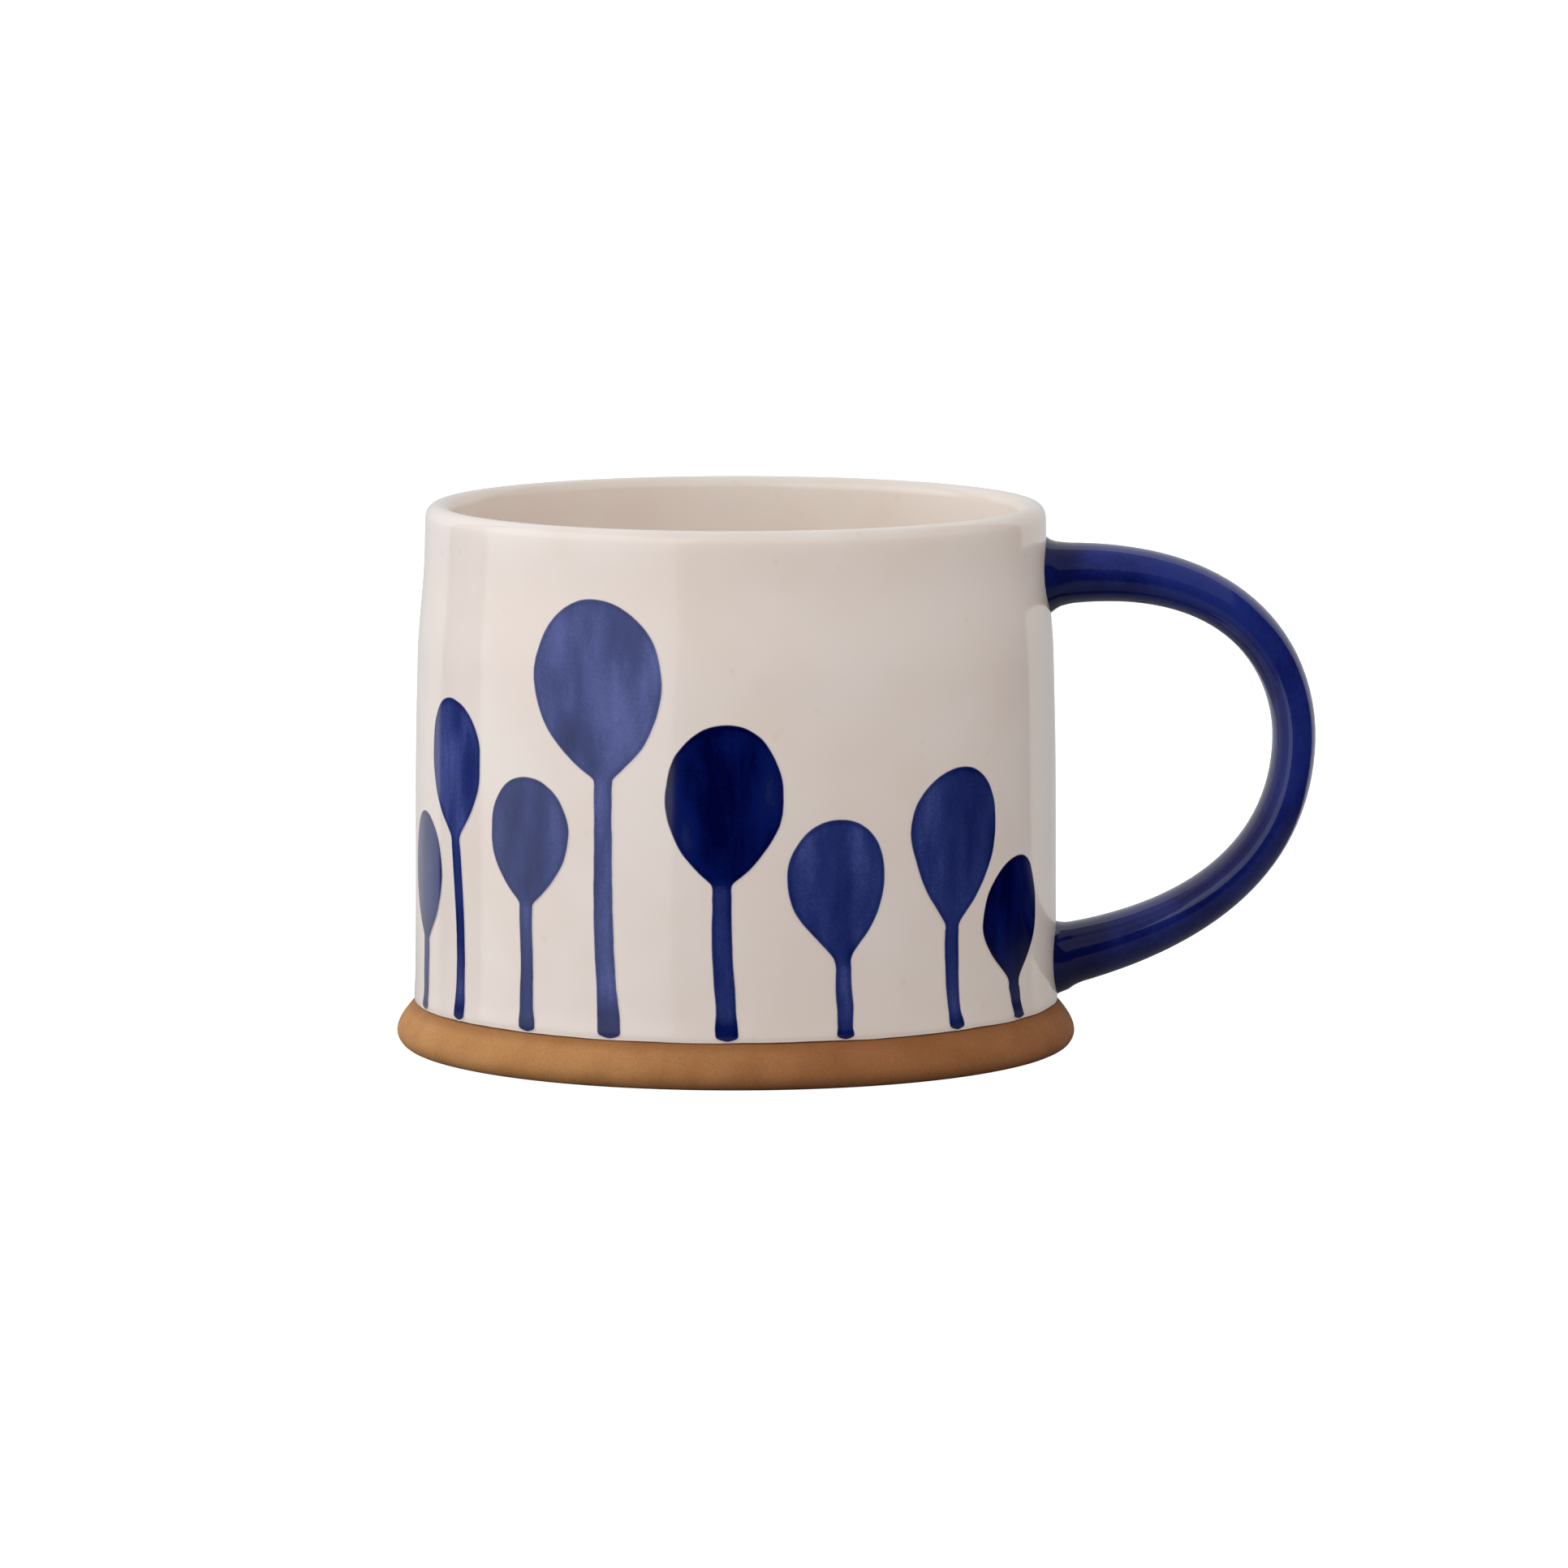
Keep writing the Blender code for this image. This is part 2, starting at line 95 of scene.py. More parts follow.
class Bench:
    """Blender's modelling operators, used as hand tools on one piece at a time."""

    @staticmethod
    def clear() -> None:
        """Leave edit mode and deselect everything."""
        if bpy.context.mode != "OBJECT":
            bpy.ops.object.mode_set(mode="OBJECT")
        bpy.ops.object.select_all(action="DESELECT")

    @staticmethod
    def take(piece: bpy.types.Object) -> None:
        """Select one piece and make it active."""
        Bench.clear()
        piece.select_set(True)
        bpy.context.view_layer.objects.active = piece

    @staticmethod
    def open(piece: bpy.types.Object) -> None:
        """Enter edit mode on one piece, to work on its points."""
        Bench.take(piece)
        bpy.ops.object.mode_set(mode="EDIT")
        bpy.ops.mesh.select_mode(type="VERT")

    @staticmethod
    def close() -> None:
        """Return to object mode."""
        bpy.ops.object.mode_set(mode="OBJECT")

    @staticmethod
    def apply(piece: bpy.types.Object) -> None:
        """Apply every modifier of a piece in order."""
        Bench.take(piece)
        for modifier in list(piece.modifiers):
            bpy.ops.object.modifier_apply(modifier=modifier.name)

    @staticmethod
    def outward(piece: bpy.types.Object) -> None:
        """Close doubled points and turn every face outward."""
        Bench.open(piece)
        bpy.ops.mesh.select_all(action="SELECT")
        bpy.ops.mesh.remove_doubles(threshold=1e-6)
        bpy.ops.mesh.normals_make_consistent(inside=False)
        Bench.close()

    @staticmethod
    def outward_sheet(piece: bpy.types.Object) -> None:
        """Turn an open sheet's faces away from the mug's axis."""
        Bench.open(piece)
        bpy.ops.mesh.select_all(action="SELECT")
        bpy.ops.mesh.normals_make_consistent(inside=False)
        Bench.close()
        face = piece.data.polygons[len(piece.data.polygons) // 2]
        if face.normal.dot(Vector((face.center.x, face.center.y, 0.0))) < 0.0:
            Bench.open(piece)
            bpy.ops.mesh.select_all(action="SELECT")
            bpy.ops.mesh.flip_normals()
            Bench.close()

    @staticmethod
    def smooth(piece: bpy.types.Object, degrees: float = 40.0) -> None:
        """Shade smooth, with edges sharper than an angle left crisp."""
        Bench.take(piece)
        bpy.ops.object.shade_smooth_by_angle(angle=math.radians(degrees))

    @staticmethod
    def finish(piece: bpy.types.Object, slot: str, material: bpy.types.Material, *nodes: str) -> None:
        """Dress a piece, tie it to the body and hide the CAD nodes that it stands for.

        Args:
            piece: Finished piece.
            slot: Not used.
            material: Its finish.
            *nodes: CAD nodes that the piece stands for.
        """
        piece.data.materials.clear()
        piece.data.materials.append(material)
        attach(piece, "root")
        if nodes:
            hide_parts(*nodes)
        log.info("%s: %d faces", piece.name, len(piece.data.polygons))


class Wheel:
    """Turns an outline round the mug's axis."""

    @staticmethod
    def turn(name: str, outline: Sequence[Point], steps: int) -> bpy.types.Object:
        """Draw an outline point by point and spin it.

        Args:
            name: Name of the piece.
            outline: Points as radius and height, in order from axis to axis.
            steps: Facets in a full turn.

        Returns:
            The turned piece, closed and facing outward.
        """
        Bench.clear()
        bpy.ops.mesh.primitive_plane_add(size=MM, location=ORIGIN)
        piece = bpy.context.object
        piece.name = piece.data.name = name
        Bench.open(piece)
        bpy.ops.mesh.select_all(action="SELECT")
        bpy.ops.mesh.merge(type="CENTER")
        bpy.ops.transform.translate(value=(outline[0][0], 0.0, outline[0][1]))
        for before, after in zip(outline, outline[1:], strict=False):
            step = (after[0] - before[0], 0.0, after[1] - before[1])
            bpy.ops.mesh.extrude_region_move(TRANSFORM_OT_translate={"value": step})
        bpy.ops.mesh.select_all(action="SELECT")
        bpy.ops.mesh.spin(steps=steps, angle=math.tau, center=ORIGIN, axis=(0.0, 0.0, 1.0))
        Bench.outward(piece)
        return piece

    @staticmethod
    def wander(
        piece: bpy.types.Object,
        weigh: Callable[[Vector], float],
        depth: float,
        grain: float,
        drift: Drift,
    ) -> None:
        """Let part of a piece wander softly, as hand work does.

        Args:
            piece: Piece to disturb.
            weigh: Share of the movement at a place, from 0 to 1.
            depth: Greatest movement from end to end.
            grain: Length of one wave.
            drift: Direction of the movement.
        """
        group = piece.vertex_groups.new(name="wander")
        for vertex in piece.data.vertices:
            weight = weigh(vertex.co)
            if weight > 0.0:
                group.add([vertex.index], weight, "REPLACE")
        clouds = bpy.data.textures.new("wander", "CLOUDS")
        clouds.noise_scale = grain
        clouds.noise_depth = 1
        displace = piece.modifiers.new("wander", "DISPLACE")
        displace.texture = clouds
        displace.texture_coords = "LOCAL"
        displace.direction = drift.value
        displace.strength = depth
        displace.mid_level = 0.5
        displace.vertex_group = group.name
        Bench.apply(piece)
        piece.vertex_groups.clear()
        bpy.data.textures.remove(clouds)


@dataclass(frozen=True)
class MugForm:
    """Outline of the mug, from the table to the lip."""

    height: float = 80.0 * MM
    rim_radius: float = 45.5 * MM
    base_radius: float = 47.4 * MM
    wall: float = 4.8 * MM
    lip: float = 3.6 * MM
    bulge: float = 0.68 * MM
    foot_height: float = 6.45 * MM
    foot_flare: float = 2.6 * MM
    foot_edge_width: float = 2.4 * MM
    foot_edge_height: float = 2.1 * MM
    floor: float = 6.0 * MM
    groove_depth: float = 2.6 * MM
    corner: float = 5.0 * MM
    gap: float = 0.3 * MM
    glaze: float = 0.6 * MM
    bead: float = 0.09 * MM
    edge: float = 6.76 * MM
    steps: int = 240

    def share(self, height: float) -> float:
        """Share of the wall's height above the foot."""
        return (height - self.foot_height) / (self.height - self.foot_height)

    def wall_radius(self, height: float) -> float:
        """Radius of the wall's outside, without the bead at its lower edge."""
        share = self.share(height)
        straight = self.base_radius + (self.rim_radius - self.base_radius) * max(share, 0.0)
        grown = smooth_step(share / 0.60) * (1.0 - smooth_step((share - 0.70) / 0.20))
        return straight + self.bulge * grown

    def skin_radius(self, height: float) -> float:
        """Radius of the glazed outside, with the bead where the glaze stopped running."""
        above = (height - self.edge) / (3.2 * MM)
        swell = smooth_step(above / 0.22) * (1.0 - smooth_step((above - 0.22) / 0.78))
        return self.wall_radius(height) + self.bead * swell

    def cavity_radius(self, height: float) -> float:
        """Radius of the cup's inside."""
        low = self.base_radius - self.wall
        return low + (self.rim_radius - self.lip - low) * self.share(height)

    def place(self, bearing: float, height: float, proud: float) -> Vector:
        """Place on the glazed wall.

        Args:
            bearing: Angle in radians from the front towards the handle.
            height: Height above the table.
            proud: Distance outside the glaze.

        Returns:
            The place in the mug's frame.
        """
        radius = self.skin_radius(height) + proud
        return Vector((radius * math.sin(bearing), -radius * math.cos(bearing), height))

    def onto_wall(self, place: Vector, proud: float) -> Vector:
        """Slide a place along X onto the glazed wall."""
        radius = self.skin_radius(place.z) + proud
        return Vector((math.sqrt(radius * radius - place.y * place.y), place.y, place.z))


class NodeSheet:
    """A node tree with short calls to add and join nodes."""

    def __init__(self, tree: bpy.types.NodeTree) -> None:
        """Keep the tree to work on."""
        self.tree = tree

    def add(self, kind: str, **values: object) -> bpy.types.Node:
        """Add a node.

        Args:
            kind: Blender's name of the node type.
            **values: Properties of the node.

        Returns:
            The node.
        """
        node = self.tree.nodes.new(kind)
        for name, value in values.items():
            setattr(node, name, value)
        return node

    def join(self, source: bpy.types.NodeSocket, target: bpy.types.NodeSocket) -> None:
        """Link an output to an input."""
        self.tree.links.new(source, target)

    def feed(self, target: bpy.types.NodeSocket, value: object) -> None:
        """Link a socket, or set a plain value on the target."""
        if isinstance(value, bpy.types.NodeSocket):
            self.join(value, target)
        else:
            target.default_value = value

    def math(self, operation: str, first: object, second: object) -> bpy.types.NodeSocket:
        """Combine two values with a Math node.

        Args:
            operation: Name of the operation.
            first: Socket or number.
            second: Socket or number.

        Returns:
            The result's socket.
        """
        node = self.add("ShaderNodeMath", operation=operation)
        self.feed(node.inputs[0], first)
        self.feed(node.inputs[1], second)
        return node.outputs[0]

    def ease(
        self,
        value: object,
        low: float,
        high: float,
        start: float = 0.0,
        end: float = 1.0,
    ) -> bpy.types.NodeSocket:
        """Map a range softly onto another.

        Args:
            value: Socket with the value.
            low: Value that gives start.
            high: Value that gives end.
            start: Result at low.
            end: Result at high.

        Returns:
            The result's socket.
        """
        node = self.add("ShaderNodeMapRange", interpolation_type="SMOOTHSTEP")
        self.feed(node.inputs["Value"], value)
        node.inputs["From Min"].default_value = low
        node.inputs["From Max"].default_value = high
        node.inputs["To Min"].default_value = start
        node.inputs["To Max"].default_value = end
        return node.outputs["Result"]

    def blend(self, share: object, first: object, second: object, how: str = "MIX") -> bpy.types.NodeSocket:
        """Mix two colours.

        Args:
            share: Share of the second colour.
            first: Colour or socket.
            second: Colour or socket.
            how: Blend type.

        Returns:
            The mixed colour's socket.
        """
        node = self.add("ShaderNodeMix", data_type="RGBA", blend_type=how)
        self.feed(node.inputs[0], share)
        for place, value in ((6, first), (7, second)):
            if isinstance(value, tuple):
                value = (*value, 1.0)
            self.feed(node.inputs[place], value)
        return node.outputs[2]

    def ramp(self, value: object, stops: Sequence[tuple[float, Colour]]) -> bpy.types.NodeSocket:
        """Colour a value with a ramp.

        Args:
            value: Socket with the value.
            stops: Positions and colours in order.

        Returns:
            The colour's socket.
        """
        node = self.add("ShaderNodeValToRGB")
        elements = node.color_ramp.elements
        while len(elements) < len(stops):
            elements.new(1.0)
        for element, (position, colour) in zip(elements, stops, strict=True):
            element.position = position
            element.color = (*colour, 1.0)
        self.feed(node.inputs[0], value)
        return node.outputs[0]

    def noise(
        self,
        vector: object,
        scale: object,
        detail: float = 2.0,
        roughness: float = 0.5,
    ) -> bpy.types.NodeSocket:
        """Noise value at a place.

        Args:
            vector: Coordinates.
            scale: Waves per metre.
            detail: Finer layers.
            roughness: Strength of the finer layers.

        Returns:
            The value's socket.
        """
        node = self.add("ShaderNodeTexNoise")
        self.feed(node.inputs["Vector"], vector)
        self.feed(node.inputs["Scale"], scale)
        node.inputs["Detail"].default_value = detail
        node.inputs["Roughness"].default_value = roughness
        return node.outputs["Fac"]

    def object_place(self) -> bpy.types.NodeSocket:
        """Place on the piece, in metres."""
        return self.add("ShaderNodeTexCoord").outputs["Object"]

    def stretch(self, vector: object, scale: Sequence[float]) -> bpy.types.NodeSocket:
        """Scale coordinates along each axis.

        Args:
            vector: Coordinates.
            scale: Factor along each axis.

        Returns:
            The new coordinates.
        """
        node = self.add("ShaderNodeMapping")
        self.feed(node.inputs["Vector"], vector)
        node.inputs["Scale"].default_value = scale
        return node.outputs["Vector"]

    def part(self, vector: object, axis: str) -> bpy.types.NodeSocket:
        """One coordinate of a place, along X, Y or Z."""
        node = self.add("ShaderNodeSeparateXYZ")
        self.feed(node.inputs[0], vector)
        return node.outputs[axis]

    def length(self, vector: object) -> bpy.types.NodeSocket:
        """Distance of a place from the origin."""
        node = self.add("ShaderNodeVectorMath", operation="LENGTH")
        self.feed(node.inputs[0], vector)
        return node.outputs["Value"]

    def swing(self, value: object, amount: float) -> bpy.types.NodeSocket:
        """Turn a noise value into a swing round zero."""
        return self.math("MULTIPLY", self.math("SUBTRACT", value, 0.5), amount)

    def tint(self, share: object, base: object, colour: Colour) -> bpy.types.NodeSocket:
        """Multiply a share of a surface by a colour.

        Args:
            share: Share of the tint.
            base: Surface's own colour.
            colour: Colour to multiply by.

        Returns:
            The tinted colour's socket.
        """
        return self.blend(share, base, self.blend(1.0, base, colour, "MULTIPLY"))

    def emboss(self, shader: bpy.types.Node, height: object, strength: float, distance: float) -> None:
        """Let a value lift a finish's surface.

        Args:
            shader: Finish's shader.
            height: Value that lifts it.
            strength: Share of the full lift.
            distance: Full lift.
        """
        bump = self.add("ShaderNodeBump")
        bump.inputs["Strength"].default_value = strength
        bump.inputs["Distance"].default_value = distance
        self.feed(bump.inputs["Height"], height)
        self.join(bump.outputs["Normal"], shader.inputs["Normal"])


class Effects:
    """Node groups that more than one finish uses."""

    def __init__(self) -> None:
        """Build each group once."""
        self.grain = self._fired_grain()
        self.specks = self._iron_specks()
        self.streaks = self._brush_streaks()

    @staticmethod
    def _sheet(
        name: str,
        inputs: Sequence[tuple[str, float]],
        outputs: Sequence[str],
    ) -> tuple[NodeSheet, bpy.types.Node, bpy.types.Node]:
        """Start a group that works from a place on the piece.

        Args:
            name: Name of the group.
            inputs: Name and default of each value that it takes besides the place.
            outputs: Name of each value that it puts out.

        Returns:
            The sheet, its input node and its output node.
        """
        tree = bpy.data.node_groups.new(name, "ShaderNodeTree")
        tree.interface.new_socket("Place", in_out="INPUT", socket_type="NodeSocketVector")
        for label, default in inputs:
            socket = tree.interface.new_socket(label, in_out="INPUT", socket_type="NodeSocketFloat")
            socket.default_value = default
        for label in outputs:
            tree.interface.new_socket(label, in_out="OUTPUT", socket_type="NodeSocketFloat")
        sheet = NodeSheet(tree)
        return sheet, sheet.add("NodeGroupInput"), sheet.add("NodeGroupOutput")

    def _fired_grain(self) -> bpy.types.NodeTree:
        """Two layers of grain, one fine and one soft."""
        layers = (("Fine", 2200.0), ("Soft", 60.0))
        sheet, given, made = self._sheet("fired_grain", layers, ("Fine Grain", "Soft Mottle"))
        fine = sheet.noise(given.outputs["Place"], given.outputs["Fine"], 4.0, 0.6)
        soft = sheet.noise(given.outputs["Place"], given.outputs["Soft"], 2.0, 0.5)
        sheet.join(fine, made.inputs["Fine Grain"])
        sheet.join(soft, made.inputs["Soft Mottle"])
        return sheet.tree

    def _iron_specks(self) -> bpy.types.NodeTree:
        """Scattered specks of iron that come through in the firing."""
        sheet, given, made = self._sheet("iron_specks", (("Spacing", 500.0), ("Rarity", 0.7)), ("Speck",))
        cells = sheet.add("ShaderNodeTexVoronoi", feature="F1")
        sheet.join(given.outputs["Place"], cells.inputs["Vector"])
        sheet.join(given.outputs["Spacing"], cells.inputs["Scale"])
        near = sheet.ease(cells.outputs["Distance"], 0.10, 0.26, 1.0, 0.0)
        split = sheet.add("ShaderNodeSeparateColor")
        sheet.join(cells.outputs["Color"], split.inputs[0])
        rare = sheet.math("GREATER_THAN", split.outputs[0], given.outputs["Rarity"])
        sheet.join(sheet.math("MULTIPLY", near, rare), made.inputs["Speck"])
        return sheet.tree

    def _brush_streaks(self) -> bpy.types.NodeTree:
        """Marks that a loaded brush leaves as it is pulled down the wall."""
        widths = (("Across", 420.0), ("Wide", 130.0))
        sheet, given, made = self._sheet("brush_streaks", widths, ("Streak", "Wash"))
        pulled = sheet.stretch(given.outputs["Place"], (1.0, 1.0, 0.28))
        sheet.join(sheet.noise(pulled, given.outputs["Across"], 3.0, 0.5), made.inputs["Streak"])
        swept = sheet.stretch(given.outputs["Place"], (1.0, 1.0, 0.6))
        sheet.join(sheet.noise(swept, given.outputs["Wide"], 2.0, 0.5), made.inputs["Wash"])
        return sheet.tree

    @staticmethod
    def use(sheet: NodeSheet, group: bpy.types.NodeTree, **values: object) -> bpy.types.Node:
        """Place a group in a material.

        Args:
            sheet: Material's sheet.
            group: Group to place.
            **values: Its inputs, by name.

        Returns:
            The group's node.
        """
        node = sheet.add("ShaderNodeGroup", node_tree=group)
        for name, value in values.items():
            sheet.feed(node.inputs[name], value)
        return node


def new_material(name: str) -> tuple[bpy.types.Material, NodeSheet, bpy.types.Node]:
    """Start a material.

    Args:
        name: Name of the material.

    Returns:
        The material, its sheet and its Principled shader.
    """
    material = bpy.data.materials.new(name)
    material.use_nodes = True
    return material, NodeSheet(material.node_tree), material.node_tree.nodes["Principled BSDF"]


@dataclass(frozen=True)
class CreamGlazeFinish:
    """Warm off-white glaze, glossy, with faint mottling and a few pale iron specks; darker and cooler over the
    lip, partly thin glaze and partly painted shade, and a little darker inside the cup as painted shade.
    """

    colour: Colour = (0.800, 0.702, 0.640)
    warm: Colour = (0.772, 0.662, 0.590)
    # Painted shade: the glaze inside the cup is multiplied a little darker between these radii.
    inside: Colour = (0.95, 0.95, 0.93)
    inside_shade_from: float = 43.9 * MM
    inside_shade_to: float = 42.7 * MM
    # Darker, cooler lip: partly glaze running thin over the rim, partly painted shade on its upward face.
    lip: Colour = (0.89, 0.915, 0.93)
    lip_thin_and_shade_from: float = 78.5 * MM
    lip_thin_and_shade_to: float = 79.6 * MM
    speck: Colour = (0.50, 0.40, 0.31)
    speck_share: float = 0.10
    roughness: float = 0.10
    dimple: float = 0.05 * MM

    def colour_nodes(self, sheet: NodeSheet, effects: Effects) -> bpy.types.NodeSocket:
        """Colour of the glaze at a place on the mug.

        Args:
            sheet: Material's sheet.
            effects: Shared groups.

        Returns:
            The colour's socket.
        """
        place = sheet.object_place()
        grain = Effects.use(sheet, effects.grain, Place=place, Fine=900.0, Soft=55.0)
        mottle = sheet.ease(grain.outputs["Soft Mottle"], 0.35, 0.70)
        base = sheet.blend(mottle, self.colour, self.warm)
        # Painted shade: darker inside the cup.
        radius = sheet.length(sheet.stretch(place, (1.0, 1.0, 0.0)))
        painted_inside_shade = sheet.ease(radius, self.inside_shade_to, self.inside_shade_from, 1.0, 0.0)
        base = sheet.tint(painted_inside_shade, base, self.inside)
        # Darker, cooler lip: partly thinner glaze over the rim, partly painted shade.
        thin = sheet.ease(sheet.part(place, "Z"), self.lip_thin_and_shade_from, self.lip_thin_and_shade_to)
        base = sheet.tint(thin, base, self.lip)
        specks = Effects.use(sheet, effects.specks, Place=place, Spacing=330.0, Rarity=0.90)
        share = sheet.math("MULTIPLY", specks.outputs["Speck"], self.speck_share)
        return sheet.blend(share, base, self.speck)

    def make(self, effects: Effects) -> bpy.types.Material:
        """Build the material.

        Args:
            effects: Shared groups.

        Returns:
            The material.
        """
        material, sheet, shader = new_material("glossy_cream_glaze")
        sheet.join(self.colour_nodes(sheet, effects), shader.inputs["Base Color"])
        place = sheet.object_place()
        fine = sheet.noise(place, 700.0, 3.0, 0.5)
        rough = sheet.ease(fine, 0.3, 0.7, self.roughness - 0.02, self.roughness + 0.03)
        sheet.join(rough, shader.inputs["Roughness"])
        sheet.emboss(shader, sheet.noise(place, 90.0, 2.0, 0.4), 0.5, self.dimple)
        return material


@dataclass(frozen=True)
class BareClayFinish:
    """Unglazed stoneware clay: warm brown and fine grained, with painted shade that darkens it towards the handle
    side and in a band just under the glaze's edge.
    """

    colour: Colour = (0.425, 0.194, 0.062)
    light: Colour = (0.495, 0.240, 0.084)
    dark: Colour = (0.225, 0.086, 0.028)
    # Painted shade: the side towards the handle is multiplied darker.
    side_shade_tint: Colour = (0.64, 0.53, 0.53)
    side_shade_from: float = -42.0 * MM
    side_shade_to: float = 22.0 * MM
    grain_share: float = 0.16
    speck: Colour = (0.11, 0.055, 0.030)
    speck_share: float = 0.25
    roughness: float = 0.78
    # Painted shade: a darker band just under the glaze's edge.
    glaze_line_shade_from: float = 5.0 * MM
    glaze_line_shade_to: float = 6.5 * MM
    glaze_line_shade_depth: float = 0.55
    tooth: float = 0.12 * MM

    def make(self, effects: Effects) -> bpy.types.Material:
        """Build the material.

        Args:
            effects: Shared groups.

        Returns:
            The material.
        """
        material, sheet, shader = new_material("bare_fired_clay")
        place = sheet.object_place()
        grain = Effects.use(sheet, effects.grain, Place=place, Fine=2600.0, Soft=140.0)
        base = sheet.blend(sheet.ease(grain.outputs["Soft Mottle"], 0.3, 0.7), self.colour, self.light)
        fine = sheet.ease(grain.outputs["Fine Grain"], 0.35, 0.65)
        base = sheet.blend(sheet.math("MULTIPLY", fine, self.grain_share), base, self.dark)
        specks = Effects.use(sheet, effects.specks, Place=place, Spacing=900.0, Rarity=0.86)
        base = sheet.blend(sheet.math("MULTIPLY", specks.outputs["Speck"], self.speck_share), base, self.speck)
        # Painted shade, darker towards the handle side.
        painted_side_shade = sheet.ease(sheet.part(place, "X"), self.side_shade_from, self.side_shade_to)
        base = sheet.tint(painted_side_shade, base, self.side_shade_tint)
        # Painted shade in a band just under the glaze's edge.
        painted_glaze_line_shade = sheet.ease(sheet.part(place, "Z"), self.glaze_line_shade_from, self.glaze_line_shade_to, 0.0, self.glaze_line_shade_depth)
        sheet.join(sheet.blend(painted_glaze_line_shade, base, self.dark), shader.inputs["Base Color"])
        rough = sheet.ease(fine, 0.0, 1.0, self.roughness - 0.08, self.roughness + 0.08)
        sheet.join(rough, shader.inputs["Roughness"])
        shader.inputs["Specular IOR Level"].default_value = 0.25
        sheet.emboss(shader, grain.outputs["Fine Grain"], 0.55, self.tooth)
        return material


@dataclass(frozen=True)
class SlipFinish:
    """Dried clay slip: paler than the clay, smooth and matt."""

    colour: Colour = (0.56, 0.30, 0.16)
    pale: Colour = (0.66, 0.40, 0.24)
    roughness: float = 0.88
    tooth: float = 0.08 * MM

    def make(self, effects: Effects) -> bpy.types.Material:
        """Build the material.

        Args:
            effects: Shared groups.

        Returns:
            The material.
        """
        material, sheet, shader = new_material("dried_slip")
        grain = Effects.use(sheet, effects.grain, Place=sheet.object_place(), Fine=3200.0, Soft=220.0)
        mottle = sheet.ease(grain.outputs["Soft Mottle"], 0.3, 0.7)
        sheet.join(sheet.blend(mottle, self.colour, self.pale), shader.inputs["Base Color"])
        shader.inputs["Roughness"].default_value = self.roughness
        sheet.emboss(shader, grain.outputs["Fine Grain"], 0.35, self.tooth)
        return material


@dataclass(frozen=True)
class CobaltGlazeFinish:
    """Deep cobalt glaze of the handle, thinner and bluer in places, and darker at the roots, partly pooled glaze
    and partly painted shade.
    """

    deep: Colour = (0.0035, 0.0062, 0.078)
    blue: Colour = (0.0120, 0.0225, 0.162)
    # Darker roots: partly glaze pooled in the joins, partly painted shade where the handle meets the wall.
    pooled: Colour = (0.0010, 0.0022, 0.036)
    root_pool_and_shade_from: float = 51.4 * MM
    root_pool_and_shade_to: float = 48.0 * MM
    root_pool_and_shade_longer: float = 4.5 * MM
    root_pool_and_shade_share: float = 0.62
    lower_arm: float = 20.0 * MM
    upper_arm: float = 50.0 * MM
    roughness: float = 0.09
    dimple: float = 0.06 * MM

    def make(self, effects: Effects) -> bpy.types.Material:
        """Build the material.

        Args:
            effects: Shared groups.

        Returns:
            The material.
        """
        material, sheet, shader = new_material("glossy_cobalt_glaze")
        place = sheet.object_place()
        grain = Effects.use(sheet, effects.grain, Place=place, Fine=1200.0, Soft=75.0)
        fine = grain.outputs["Fine Grain"]
        depth = sheet.math("ADD", grain.outputs["Soft Mottle"], sheet.swing(fine, 0.25))
        colour = sheet.blend(sheet.ease(depth, 0.32, 0.68), self.deep, self.blue)
        # Darker roots, partly pooled glaze and partly painted shade; the dark reaches further along the lower
        # arm.
        longer = sheet.ease(sheet.part(place, "Z"), self.lower_arm, self.upper_arm, self.root_pool_and_shade_longer, 0.0)
        reach = sheet.math("SUBTRACT", sheet.part(place, "X"), longer)
        pooled = sheet.ease(reach, self.root_pool_and_shade_to, self.root_pool_and_shade_from, self.root_pool_and_shade_share, 0.0)
        sheet.join(sheet.blend(pooled, colour, self.pooled), shader.inputs["Base Color"])
        rough = sheet.ease(fine, 0.3, 0.7, self.roughness - 0.02, self.roughness + 0.04)
        sheet.join(rough, shader.inputs["Roughness"])
        sheet.emboss(shader, sheet.noise(place, 160.0, 2.0, 0.4), 0.5, self.dimple)
        return material


